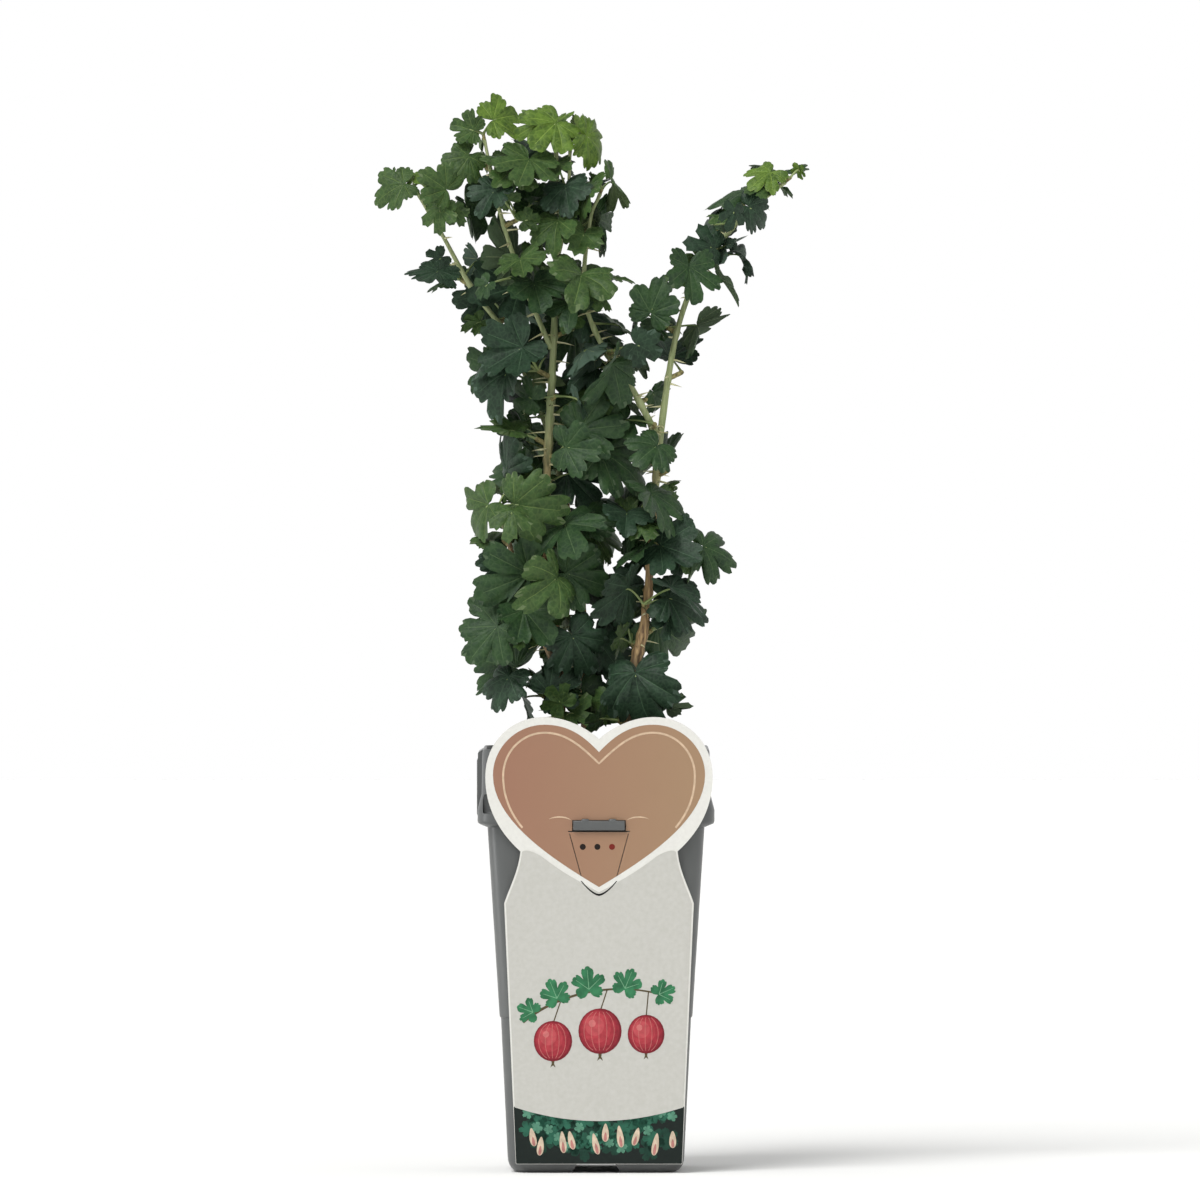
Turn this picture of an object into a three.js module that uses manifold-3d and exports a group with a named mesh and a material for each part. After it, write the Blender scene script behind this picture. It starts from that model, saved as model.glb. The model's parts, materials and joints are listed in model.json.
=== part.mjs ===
// Gooseberry bush, grown in a tall square nursery pot, with its potting soil and its card label.
// Millimetres, +Z up. The origin is the middle of the pot's underside, and the card faces -Y.
// Three canes rise from the soil and boughs leave them. Every short spur carries a tuft of lobed
// leaves on thin stalks. A tuft is one solid that keeps clear of the wood and of all other tufts.

import * as THREE from 'three';
import { mergeVertices } from 'three/addons/utils/BufferGeometryUtils.js';
import Module from 'manifold-3d';

const wasm = await Module();
wasm.setup();

// ---------------------------------------------------------------- driving dimensions

const GAP = 0.3; // left between neighbours that touch on the real plant
const JACKET = 1.1 * GAP; // thickness of the jacket that cuts a neighbour's root back to the gap

const POT = {
  height: 212,
  footHalf: 43.8, // half width just above the rounded bottom edge
  waistZ: 78, // a small step, where stacked pots catch
  waistHalf: 47.6,
  step: 0.6,
  stepDrop: 0.5,
  collarZ: 173, // underside of the collar
  collarEdge: 176, // foot of its upright edge, where the card rests
  bodyHalf: 54.2, // just under the collar
  collarHalf: 59.2,
  collarRound: 0.6,
  beadTop: 182, // top of the collar's upright edge
  mouthHalf: 56.4, // outside, at the top edge
  rimRound: 0.4,
  wall: 1.4,
  corner: 9, // radius of the upright corners
  collarCorner: 12,
  floor: 6.6, // inside, above the ground
};

// The rounded bottom edge: heights, and how far the side still lies inside its full width there.
const FOOT_EDGE = [[0, 5.4], [1.2, 3.4], [8, 0]];

// Drainage channels cross under the floor and leave four feet.
const CHANNEL = { depth: 4.6, base: 25, top: 19, holeRadius: 4.5, holeAt: 27 };

// A lug on the left of the collar, and the one in front that the label hangs on.
const LUG = { width: 46, bottom: 176, top: 209, thick: 3.2 };
const HOOK = { width: 25, bottom: 172.2, top: 176.2, reach: 3.4, bumpWidth: 3, bumpHeight: 1.2, bumpAt: 6.8 };

const SOIL_TOP = 190;

const CARD = {
  thick: 0.8,
  lean: 4.45, // degrees, along the pot's taper
  centreX: 1.5,
  footHalf: 41.6,
  footZ: 4.6,
  shoulderHalf: 47.3,
  shoulderZ: 135.6,
  waistHalf: 39.2,
  waistZ: 161.7,
  lobeHalf: 56.7,
  lobeZ: 199,
  crestX: 27.4,
  crestZ: 229,
  notchZ: 218,
  // how far the curves between these points bend away from their ends
  shoulderEase: [3, 9],
  waistEase: [1, 10],
  hipEase: 11,
  lobeEase: [15, 18],
  crestEase: [16, 11],
  notchEase: [6, 11],
};

// The window that the hook comes through, and the slits round the push-out tongue below it.
const TONGUE = {
  top: 172,
  windowHalf: 13.4,
  windowTop: 177.4,
  topHalf: 15.4,
  foot: 148.5,
  footHalf: 9.2,
  tip: 140.8,
  slit: 0.6,
  bridge: 1.6,
};

// Waypoints of each limb's middle line, its thickness at both ends, and the limb that it leaves.
const LIMBS = [
  { name: 'stem_main', thick: 6, thin: 2.2, path: [[-17, 3, SOIL_TOP], [-19, 2, 240], [-20, 0, 266],
    [-25.5, -1, 300], [-24.6, -1, 350], [-21.5, 0, 410], [-20, 2, 465], [-20, 1, 518]] },
  { name: 'stem_right', thick: 5.6, thin: 1.8, path: [[15, -2, SOIL_TOP], [17, -3, 240], [25, -4, 278],
    [28.5, -2, 326], [33, 0, 374], [41, 1, 422], [53, 0, 452], [74, -2, 479], [95, -4, 496]] },
  { name: 'stem_back', thick: 5, thin: 1.8, path: [[-5, 15, SOIL_TOP], [-7, 17, 280], [-21, 16, 360],
    [-43, 11, 415], [-62, 6, 442], [-77, 2, 469], [-90, -1, 491]] },
  { name: 'bough_low', thick: 3.4, thin: 1.8, parent: 'stem_main',
    path: [[-20.5, -1, 253], [-28, -6, 270], [-38, -12, 296], [-48, -16, 330]] },
  { name: 'bough_left', thick: 3, thin: 1.6, parent: 'stem_main',
    path: [[-21.5, 0, 410], [-36, -5, 444], [-48, -6, 480], [-56, -5, 517]] },
  { name: 'bough_middle', thick: 3.4, thin: 1.8, parent: 'stem_right',
    path: [[32, 0, 366], [17, -7, 394], [3, -9, 414], [-6, -8, 440], [-3, -4, 476], [2, -2, 490]] },
  { name: 'bough_top', thick: 2.4, thin: 1.6, parent: 'stem_main',
    path: [[-20, 2, 455], [-14.5, -5, 480], [-13, -5, 512]] },
];

// How a grown tuft is made. A pair is a range that each leaf draws from; angles are in degrees.
const GROWN = {
  spur: [3, 7],
  spread: 200, // of the tuft's leaves round the spur
  fan: 26, // each leaf's stray from its place in the spread
  rise: [0, 60], // of the stalk
  stalk: [9, 23],
  blade: [18, 30],
  up: 0.5, // how far a blade faces the sky, outwards, and the light in front
  outward: 0.35,
  light: -0.55,
  stray: 0.75,
  hang: [-10, 60], // of the blade below the level
  twist: 40,
  fold: [-0.05, 0.6],
  sag: [0, 0.5],
  cup: [0, 0.35],
};

// A tuft of young leaves at the tip of a limb: smaller, crowded, and still rising.
const YOUNG = {
  ...GROWN,
  spur: [3, 3],
  spread: 300,
  rise: [10, 75],
  stalk: [4, 12],
  blade: [13, 21],
  hang: [-50, 20],
  stray: 0.6,
};

const TIPS = [
  { limb: 'stem_main', azimuth: 290, leaves: 6, size: 1 },
  { limb: 'stem_right', azimuth: -30, leaves: 3, size: 1.1 },
  { limb: 'stem_back', azimuth: 180, leaves: 3, size: 0.9 },
  { limb: 'bough_left', azimuth: 200, leaves: 3, size: 0.9 },
  { limb: 'bough_top', azimuth: 320, leaves: 4, size: 1 },
  { limb: 'bough_low', azimuth: 190, leaves: 3, size: 1.5 },
  { limb: 'bough_middle', azimuth: 20, leaves: 3, size: 1.15 },
];

// Runs of tufts along a limb, between two heights. Each turns TURN degrees on from the last.
const RUNS = [
  { limb: 'stem_main', from: 234, to: 500, tufts: 14, azimuth: 200, leaves: 5, size: 1 },
  { limb: 'stem_right', from: 238, to: 348, tufts: 6, azimuth: 340, leaves: 5, size: 1 },
  { limb: 'stem_right', from: 374, to: 442, tufts: 4, azimuth: 215, leaves: 3, size: 0.85 },
  { limb: 'stem_right', from: 454, to: 488, tufts: 3, azimuth: 120, leaves: 2, size: 0.78 },
  { limb: 'stem_back', from: 250, to: 425, tufts: 6, azimuth: 60, leaves: 5, size: 1 },
  { limb: 'stem_back', from: 444, to: 480, tufts: 2, azimuth: 150, leaves: 3, size: 0.75 },
  { limb: 'bough_low', from: 268, to: 320, tufts: 2, azimuth: 170, leaves: 4, size: 1.1 },
  { limb: 'bough_left', from: 446, to: 502, tufts: 3, azimuth: 190, leaves: 2, size: 0.78 },
  { limb: 'bough_middle', from: 400, to: 470, tufts: 3, azimuth: 200, leaves: 4, size: 0.9 },
];

const SEED = 3;
const TURN = 137.5;
const TURN_STRAY = 25;
const SPUR_RISE = 25; // degrees above the level
const TRIES = 60; // places that a leaf tries before it is left out

// Space that a leaf keeps from other blades, from stalks and spurs, and from wood.
const CLEAR = { blade: 2.3, stalk: 1.9, wood: 1, spur: 2.2 };
// Wood and leaves further off than this, beyond the blades' own sizes, need no closer look.
const FAR = { wood: 30, leaf: 40 };
// No blade hangs below the pot's rim, or reaches through the label in front.
const LOWEST_BLADE = 217;
const BEHIND_CARD = { top: 236, y: -50 };
// How far the crown reaches to its left and right, by height. The left bough and the right cane stand
// out of the main column near the top.
const LEFT_REACH = [[217, -58], [245, -72], [340, -77], [352, -56], [366, -70], [430, -66], [440, -94],
  [470, -94], [485, -111], [505, -108], [513, -74], [550, -74]];
const RIGHT_REACH = [[217, 46], [260, 58], [305, 71], [330, 58], [352, 40], [400, 44], [410, 60],
  [470, 90], [505, 110], [514, 12], [550, 8]];
const REACH_SLACK = 2;
// Round gaps seen through the crown, between its main column and the right cane.
const GAPS = [
  { x: 37, z: 482, radius: 17 },
  { x: 27, z: 456, radius: 9 },
  { x: 14, z: 438, radius: 5 },
];
// Stretches of cane that no blade hangs in front of, and how far to each side they stay open.
const BARE = [
  { limb: 'stem_main', from: 350, to: 425 },
  { limb: 'stem_right', from: 258, to: 300 },
  { limb: 'stem_right', from: 372, to: 400 },
  { limb: 'stem_right', from: 410, to: 430 },
];
const BARE_SIDE = { x: 3, z: 2.5 };

// Half of a blade's outline: degrees from the midrib, and reach in blade lengths.
const OUTLINE = [[0, 1], [22, 0.7], [48, 0.86], [76, 0.56], [106, 0.6], [150, 0.22]];
const BLADE_MIDDLE = 0.4; // its thickest point, in blade lengths from the stalk
const BLADE_THICK = 1.1;
const STALK_RADIUS = 0.68;
const STALK_SIDES = 3;
const STALK_RUN_IN = 2;
const SPUR_RADIUS = 1.1;
const SPUR_TAPER = 0.8;
const SPUR_SIDES = 5;
const SMALLEST = 0.03; // slivers under this, left where stalks join, are taken out

// ---------------------------------------------------------------- joining and cutting

function toSolid(geometry) {
  geometry.deleteAttribute('normal');
  geometry.deleteAttribute('uv');
  const merged = mergeVertices(geometry, 1e-4);
  return new wasm.Manifold(new wasm.Mesh({
    numProp: 3,
    vertProperties: new Float32Array(merged.attributes.position.array),
    triVerts: new Uint32Array(merged.index.array),
  }));
}

function toGeometry(solid) {
  const { vertProperties, triVerts } = solid.getMesh();
  const geometry = new THREE.BufferGeometry();
  geometry.setAttribute('position', new THREE.BufferAttribute(vertProperties, 3));
  geometry.setIndex(new THREE.BufferAttribute(triVerts, 1));
  geometry.computeVertexNormals();
  return geometry;
}

function largest(solid) {
  return solid.decompose().reduce((a, b) => (b.volume() > a.volume() ? b : a));
}

function shell(points, faces) {
  const geometry = new THREE.BufferGeometry();
  const numbers = points.flatMap((p) => [p.x, p.y, p.z]);
  geometry.setAttribute('position', new THREE.Float32BufferAttribute(numbers, 3));
  geometry.setIndex(faces.flat());
  return geometry;
}

// Closed solid through rings of equally many points, each ring anticlockwise seen from the next.
function loft(rings) {
  const sides = rings[0].length;
  const faces = [];
  for (let k = 0; k + 1 < rings.length; k += 1) {
    for (let i = 0; i < sides; i += 1) {
      const a = k * sides + i;
      const b = k * sides + ((i + 1) % sides);
      faces.push([a, b, b + sides], [a, b + sides, a + sides]);
    }
  }
  const last = (rings.length - 1) * sides;
  for (let i = 1; i + 1 < sides; i += 1) {
    faces.push([0, i + 1, i], [last, last + i, last + i + 1]);
  }
  return toSolid(shell(rings.flat(), faces));
}

// Round rod along a line, with its own radius at each point.
function rod(line, radii, sides, firstTangent) {
  let across = new THREE.Vector3();
  const rings = line.map((point, k) => {
    const before = line[Math.max(k - 1, 0)];
    const after = line[Math.min(k + 1, line.length - 1)];
    const tangent = k === 0 && firstTangent ? firstTangent.clone() : after.clone().sub(before).normalize();
    if (k === 0) {
      across.set(tangent.y, tangent.z, tangent.x);
    }
    across = across.clone().addScaledVector(tangent, -across.dot(tangent)).normalize();
    const third = tangent.clone().cross(across);
    return Array.from({ length: sides }, (_, i) => {
      const angle = (2 * Math.PI * i) / sides;
      return point.clone()
        .addScaledVector(across, radii[k] * Math.cos(angle))
        .addScaledVector(third, radii[k] * Math.sin(angle));
    });
  });
  return loft(rings);
}

// ---------------------------------------------------------------- pot

// Upright square tower with rounded corners, through levels of height, half width and corner radius.
const CORNER_STEPS = 3;

function tower(levels) {
  return loft(levels.map(({ z, half, corner }) => {
    const ring = [];
    for (let quarter = 0; quarter < 4; quarter += 1) {
      const [x, y] = [[1, 1], [-1, 1], [-1, -1], [1, -1]][quarter];
      for (let i = 0; i <= CORNER_STEPS; i += 1) {
        const angle = (Math.PI / 2) * (quarter + i / CORNER_STEPS);
        ring.push(new THREE.Vector3(
          x * (half - corner) + corner * Math.cos(angle),
          y * (half - corner) + corner * Math.sin(angle),
          z,
        ));
      }
    }
    return ring;
  }));
}

// Half width of the pot's outside at a height, below the collar.
function potHalf(z) {
  if (z < POT.waistZ) {
    return POT.footHalf + ((POT.waistHalf - POT.footHalf) * z) / POT.waistZ;
  }
  const share = (z - POT.waistZ) / (POT.collarZ - POT.waistZ);
  return POT.waistHalf + POT.step + (POT.bodyHalf - POT.waistHalf - POT.step) * share;
}

function potLevel(z, less, corner) {
  return { z, half: potHalf(z) - less, corner };
}

function cavity(floor, top, less) {
  const corner = POT.corner - less;
  const rimShare = (top - POT.collarZ) / (POT.height - POT.collarZ);
  return tower([
    potLevel(floor, less, corner),
    potLevel(POT.waistZ, less + POT.step, corner),
    potLevel(POT.collarZ, less, corner),
    { z: top, half: POT.bodyHalf + (POT.mouthHalf - POT.bodyHalf) * rimShare - less, corner },
  ]);
}

function box(x, y, z) {
  const geometry = new THREE.BoxGeometry(x[1] - x[0], y[1] - y[0], z[1] - z[0]);
  geometry.translate((x[0] + x[1]) / 2, (y[0] + y[1]) / 2, (z[0] + z[1]) / 2);
  return toSolid(geometry);
}

// A lug on the collar's left: its top slants up to the rim, and its underside in to the wall.
function lug() {
  const inner = -(POT.mouthHalf - POT.wall / 2);
  const outer = -POT.collarHalf;
  const profile = new THREE.Shape([
    new THREE.Vector2(inner, LUG.bottom),
    new THREE.Vector2(outer, LUG.bottom),
    new THREE.Vector2(outer, LUG.top),
    new THREE.Vector2(inner, LUG.top + LUG.thick),
  ]);
  const geometry = new THREE.ExtrudeGeometry(profile, { depth: LUG.width, bevelEnabled: false });
  geometry.rotateX(Math.PI / 2);
  geometry.translate(0, LUG.width / 2, 0);
  return toSolid(geometry);
}

function hook() {
  const front = -(POT.collarHalf + HOOK.reach);
  const back = -(POT.collarHalf - POT.wall);
  const middle = CARD.centreX;
  let solid = box([middle - HOOK.width / 2, middle + HOOK.width / 2], [front, back], [HOOK.bottom, HOOK.top]);
  for (const side of [-1, 1]) {
    const at = middle + side * HOOK.bumpAt;
    const bump = box([at - HOOK.bumpWidth / 2, at + HOOK.bumpWidth / 2], [front, front + HOOK.reach / 2],
      [HOOK.top - HOOK.bumpHeight, HOOK.top + HOOK.bumpHeight]);
    solid = solid.add(bump);
  }
  return solid;
}

function channel(turned) {
  const half = POT.collarHalf;
  const profile = new THREE.Shape([
    new THREE.Vector2(-CHANNEL.base / 2, -1),
    new THREE.Vector2(CHANNEL.base / 2, -1),
    new THREE.Vector2(CHANNEL.top / 2, CHANNEL.depth),
    new THREE.Vector2(-CHANNEL.top / 2, CHANNEL.depth),
  ]);
  const geometry = new THREE.ExtrudeGeometry(profile, { depth: 2 * half, bevelEnabled: false });
  geometry.translate(0, 0, -half);
  geometry.rotateX(Math.PI / 2);
  if (turned) {
    geometry.rotateZ(Math.PI / 2);
  }
  return toSolid(geometry);
}

function drainHole(x, y) {
  const geometry = new THREE.CylinderGeometry(CHANNEL.holeRadius, CHANNEL.holeRadius, 2 * POT.floor, 12);
  geometry.rotateX(Math.PI / 2);
  geometry.translate(x, y, POT.floor);
  return toSolid(geometry);
}

function pot() {
  const { corner, collarCorner } = POT;
  const outside = tower([
    ...FOOT_EDGE.map(([z, less]) => potLevel(z, less, corner)),
    potLevel(POT.waistZ - POT.stepDrop, 0, corner),
    potLevel(POT.waistZ, 0, corner),
    { z: POT.collarZ, half: POT.bodyHalf, corner },
    { z: POT.collarEdge - 1, half: POT.collarHalf - POT.collarRound, corner: collarCorner },
    { z: POT.collarEdge, half: POT.collarHalf, corner: collarCorner },
    { z: POT.beadTop, half: POT.collarHalf, corner: collarCorner },
    { z: POT.height - 1, half: POT.mouthHalf + POT.rimRound, corner },
    { z: POT.height, half: POT.mouthHalf, corner },
  ]);
  let solid = outside.add(lug()).subtract(cavity(POT.floor, POT.height + 2, POT.wall));
  solid = solid.add(hook()).subtract(channel(false)).subtract(channel(true));
  for (const [x, y] of [[0, 0], [1, 0], [-1, 0], [0, 1], [0, -1]]) {
    solid = solid.subtract(drainHole(x * CHANNEL.holeAt, y * CHANNEL.holeAt));
  }
  return largest(solid);
}

function soil() {
  return cavity(POT.floor + GAP, SOIL_TOP, POT.wall + GAP);
}

// ---------------------------------------------------------------- label card

// Curves from the foot round the right side to the notch, and back down the left side.
function cardShape() {
  const C = CARD;
  const half = [
    [C.shoulderHalf - C.shoulderEase[0], C.shoulderZ + C.shoulderEase[1]],
    [C.waistHalf + C.waistEase[0], C.waistZ - C.waistEase[1]],
    [C.waistHalf, C.waistZ],
    [C.waistHalf + C.hipEase, C.waistZ + C.waistEase[1]],
    [C.lobeHalf, C.lobeZ - C.lobeEase[0]],
    [C.lobeHalf, C.lobeZ],
    [C.lobeHalf, C.lobeZ + C.lobeEase[1]],
    [C.crestX + C.crestEase[0], C.crestZ],
    [C.crestX, C.crestZ],
    [C.crestX - C.crestEase[1], C.crestZ],
    [C.notchEase[0], C.notchZ + C.notchEase[1] / 2],
    [0, C.notchZ],
  ];
  const back = half.slice(0, -1).reverse().map(([x, z]) => [-x, z]);
  const curves = [...half, ...back, [-C.shoulderHalf, C.shoulderZ]];
  const shape = new THREE.Shape();
  shape.moveTo(-C.footHalf, C.footZ);
  shape.lineTo(C.footHalf, C.footZ);
  shape.lineTo(C.shoulderHalf, C.shoulderZ);
  for (let i = 0; i < curves.length; i += 3) {
    shape.bezierCurveTo(...curves[i], ...curves[i + 1], ...curves[i + 2]);
  }
  return shape;
}

function cardHoles() {
  const T = TONGUE;
  const window = new THREE.Path([
    new THREE.Vector2(-T.topHalf, T.top - T.slit),
    new THREE.Vector2(T.topHalf, T.top - T.slit),
    new THREE.Vector2(T.topHalf, T.top),
    new THREE.Vector2(T.windowHalf, T.top),
    new THREE.Vector2(T.windowHalf, T.windowTop),
    new THREE.Vector2(-T.windowHalf, T.windowTop),
    new THREE.Vector2(-T.windowHalf, T.top),
    new THREE.Vector2(-T.topHalf, T.top),
  ]);
  const sides = [-1, 1].map((side) => new THREE.Path([
    new THREE.Vector2(side * T.topHalf, T.top - T.bridge),
    new THREE.Vector2(side * (T.topHalf - T.slit), T.top - T.bridge),
    new THREE.Vector2(side * (T.footHalf - T.slit), T.foot),
    new THREE.Vector2(side * T.footHalf, T.foot),
  ]));
  const arcFoot = T.foot - T.bridge;
  const arc = new THREE.Path();
  arc.moveTo(-T.footHalf, arcFoot);
  arc.quadraticCurveTo(0, 2 * T.tip - arcFoot, T.footHalf, arcFoot);
  arc.lineTo(T.footHalf - T.slit, arcFoot);
  arc.quadraticCurveTo(0, 2 * (T.tip + T.slit) - arcFoot, T.slit - T.footHalf, arcFoot);
  return [window, ...sides, arc];
}

function upright(shape, thick) {
  const geometry = new THREE.ExtrudeGeometry(shape, { depth: thick, bevelEnabled: false, curveSegments: 6 });
  geometry.translate(0, 0, -thick / 2);
  geometry.rotateX(Math.PI / 2);
  return toSolid(geometry);
}

function card() {
  const cuts = cardHoles().map((hole) => upright(new THREE.Shape(hole.getPoints(6)), 2 * CARD.thick));
  return cuts.reduce((solid, cut) => solid.subtract(cut), upright(cardShape(), CARD.thick));
}

// ---------------------------------------------------------------- canes and boughs

const SPAN_STEPS = 6;
const BEAD = 3; // spacing of the points that stand for the wood when leaves keep clear of it

function makeLimb({ name, thick, thin, path, parent }) {
  const points = path.map(([x, y, z]) => new THREE.Vector3(x, y, z));
  const curve = new THREE.CatmullRomCurve3(points, false, 'catmullrom', 0.5);
  const line = curve.getPoints((points.length - 1) * SPAN_STEPS);
  const along = [0];
  for (let k = 1; k < line.length; k += 1) {
    along.push(along[k - 1] + line[k].distanceTo(line[k - 1]));
  }
  const length = along[along.length - 1];
  const radius = (s) => (thick + ((thin - thick) * s) / length) / 2;
  const at = (s) => {
    let k = 0;
    while (k < along.length - 2 && along[k + 1] < s) {
      k += 1;
    }
    const share = (s - along[k]) / (along[k + 1] - along[k]);
    return {
      point: line[k].clone().lerp(line[k + 1], share),
      tangent: line[k + 1].clone().sub(line[k]).normalize(),
    };
  };
  const atHeight = (z) => {
    let k = 0;
    while (k < line.length - 2 && line[k + 1].z < z) {
      k += 1;
    }
    const share = (z - line[k].z) / (line[k + 1].z - line[k].z);
    return along[k] + share * (along[k + 1] - along[k]);
  };
  const count = Math.ceil(length / BEAD);
  const beads = Array.from({ length: count + 1 }, (_, i) => {
    const s = (i * length) / count;
    const { point } = at(s);
    const bare = BARE.some((row) => row.limb === name && point.z > row.from && point.z < row.to);
    return { limb: name, point, radius: radius(s), bare };
  });
  return { name, line, along, length, radius, at, atHeight, beads, parent };
}

const RING_STEP = 3; // every third point of the middle line carries a ring
const CANE_SIDES = 8;

function limbSolid(limb, more, lift) {
  const kept = limb.line.map((_, k) => k).filter((k) => k % RING_STEP === 0);
  const line = kept.map((k) => limb.line[k].clone());
  const radii = kept.map((k) => limb.radius(limb.along[k]) + more);
  const rooted = !limb.parent;
  if (rooted) {
    line[0].z += lift;
  }
  return rod(line, radii, CANE_SIDES, rooted ? new THREE.Vector3(0, 0, 1) : undefined);
}

// ---------------------------------------------------------------- growth of the leaves

let state = SEED;

// The next number of a repeatable sequence, between low and high.
function draw([low, high]) {
  state = (state * 16807) % 2147483647;
  return low + (high - low) * (state / 2147483647);
}

function heading(azimuth, rise) {
  const a = THREE.MathUtils.degToRad(azimuth);
  const r = THREE.MathUtils.degToRad(rise);
  return new THREE.Vector3(Math.cos(a) * Math.cos(r), Math.sin(a) * Math.cos(r), Math.sin(r));
}

function polar([degrees, reach]) {
  const angle = THREE.MathUtils.degToRad(degrees);
  return [reach * Math.cos(angle), reach * Math.sin(angle)];
}

// The blade's rim in its own plane, from the stalk round the left lobes and the tip and back.
const RIM = [[0, 0], ...OUTLINE.slice(1).reverse().map(([a, r]) => polar([-a, r])), ...OUTLINE.map(polar)];

function outlineReach(degrees) {
  const k = OUTLINE.findIndex(([a]) => degrees <= a);
  if (k < 0) {
    return 0;
  }
  const [a1, r1] = OUTLINE[k];
  const [a0, r0] = OUTLINE[Math.max(k - 1, 0)];
  return k === 0 ? r1 : r0 + ((r1 - r0) * (degrees - a0)) / (a1 - a0);
}

// Points spread over a blade and along its rim, which stand for it when others keep clear of it.
const BLADE_GRID = 0.1;
const GRID_REACH = 10; // steps ahead of the stalk and to both sides
const GRID_BACK = 5;

function bladeSamples() {
  const samples = [...RIM];
  RIM.forEach(([u, v], i) => {
    const [u2, v2] = RIM[(i + 1) % RIM.length];
    for (const share of [1 / 3, 2 / 3]) {
      samples.push([u + (u2 - u) * share, v + (v2 - v) * share]);
    }
  });
  for (let i = -GRID_BACK; i < GRID_REACH; i += 1) {
    for (let j = 1 - GRID_REACH; j < GRID_REACH; j += 1) {
      const [u, v] = [i * BLADE_GRID, j * BLADE_GRID];
      const degrees = Math.abs(THREE.MathUtils.radToDeg(Math.atan2(v, u)));
      if (Math.sqrt(u * u + v * v) < outlineReach(degrees) - BLADE_GRID / 2) {
        samples.push([u, v]);
      }
    }
  }
  return samples;
}

const SAMPLES = bladeSamples();
const STALK_SHARES = [0.3, 0.48, 0.66, 0.84, 1];
const NECK_SHARES = [0.3, 0.6, 0.9];
const SPUR_SHARES = [0.6, 0.8, 1];

function between(a, b, shares) {
  return shares.map((share) => a.clone().lerp(b, share));
}

// A point of the blade: folded up along the midrib, sagging to its tip, its sides curled down.
function bladePoint(leaf, [u, v]) {
  const w = leaf.fold * Math.abs(v) - leaf.sag * u * u - leaf.cup * v * v;
  return leaf.base.clone()
    .addScaledVector(leaf.rib, leaf.size * u)
    .addScaledVector(leaf.side, leaf.size * v)
    .addScaledVector(leaf.face, leaf.size * w);
}

const KNEE_SHARE = 0.55; // the stalk bends outwards there
const NECK_DROP = 20; // degrees below the level that the weight of the blade pulls it towards
const NECK_PULL = 0.5;

function makeLeaf(root, azimuth, rule, size) {
  const swing = azimuth + draw([-rule.fan, rule.fan]);
  const rise = draw(rule.rise);
  const stalkLength = draw(rule.stalk);
  const leaf = { root, size: draw(rule.blade) * size };
  const out = heading(swing, rise);
  leaf.knee = root.clone().addScaledVector(out, stalkLength * KNEE_SHARE);
  const neck = out.clone().addScaledVector(heading(swing, -NECK_DROP), NECK_PULL).normalize();
  leaf.base = leaf.knee.clone().addScaledVector(neck, stalkLength * (1 - KNEE_SHARE));
  const stray = new THREE.Vector3(draw([-1, 1]), draw([-1, 1]), draw([-1, 1]));
  leaf.face = new THREE.Vector3(0, rule.light, rule.up)
    .addScaledVector(heading(swing, 0), rule.outward)
    .addScaledVector(stray, rule.stray)
    .normalize();
  const turned = swing + draw([-rule.twist, rule.twist]);
  const down = heading(turned, -draw(rule.hang));
  leaf.rib = down.addScaledVector(leaf.face, -down.dot(leaf.face)).normalize();
  leaf.side = leaf.face.clone().cross(leaf.rib);
  leaf.fold = draw(rule.fold);
  leaf.sag = draw(rule.sag);
  leaf.cup = draw(rule.cup);
  leaf.blade = SAMPLES.map((uv) => bladePoint(leaf, uv));
  leaf.stalk = [...between(root, leaf.knee, STALK_SHARES), ...between(leaf.knee, leaf.base, NECK_SHARES)];
  return leaf;
}

function nearer(cloud, others, distance) {
  const square = distance * distance;
  return cloud.some((a) => others.some((b) => a.distanceToSquared(b) < square));
}

function touchesWood(leaf, beads) {
  const near = beads.filter(({ point }) => point.distanceTo(leaf.base) < leaf.size + FAR.wood);
  return [...leaf.blade, ...leaf.stalk].some((p) => near.some(
    ({ point, radius }) => p.distanceTo(point) - radius < CLEAR.wood,
  ));
}

// A value that changes evenly from row to row of a table of heights and values.
function atRow(table, height) {
  const k = table.findIndex(([z]) => height < z);
  if (k <= 0) {
    return table[k < 0 ? table.length - 1 : 0][1];
  }
  const [z0, a] = table[k - 1];
  const [z1, b] = table[k];
  return a + ((b - a) * (height - z0)) / (z1 - z0);
}

function leavesSpace({ x, y, z }) {
  return z < LOWEST_BLADE
    || (z < BEHIND_CARD.top && y < BEHIND_CARD.y)
    || x < atRow(LEFT_REACH, z) - REACH_SLACK
    || x > atRow(RIGHT_REACH, z) + REACH_SLACK
    || GAPS.some((gap) => (x - gap.x) ** 2 + (z - gap.z) ** 2 < gap.radius ** 2);
}

function hidesBare({ x, y, z }, beads) {
  return beads.some(({ bare, point }) => bare && y < point.y
    && Math.abs(x - point.x) < BARE_SIDE.x
    && Math.abs(z - point.z) < BARE_SIDE.z);
}

function touchesLeaf(leaf, other, sameTuft) {
  if (leaf.base.distanceTo(other.base) > leaf.size + other.size + FAR.leaf) {
    return false;
  }
  return nearer(leaf.blade, other.blade, CLEAR.blade)
    || nearer(leaf.blade, other.stalk, CLEAR.stalk)
    || nearer(leaf.stalk, other.blade, CLEAR.stalk)
    || (!sameTuft && nearer(leaf.stalk, other.stalk, CLEAR.stalk));
}

function touchesSpur(leaf, tuft, sameTuft) {
  return nearer(leaf.blade, tuft.spur, CLEAR.stalk)
    || (!sameTuft && nearer(leaf.stalk, tuft.spur, CLEAR.stalk));
}

function isClear(leaf, tuft, tufts, beads) {
  if (leaf.blade.some((p) => leavesSpace(p) || hidesBare(p, beads)) || touchesWood(leaf, beads)) {
    return false;
  }
  return !tufts.some((other) => touchesSpur(leaf, other, other === tuft)
    || other.leaves.some((placed) => touchesLeaf(leaf, placed, other === tuft)));
}

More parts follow.
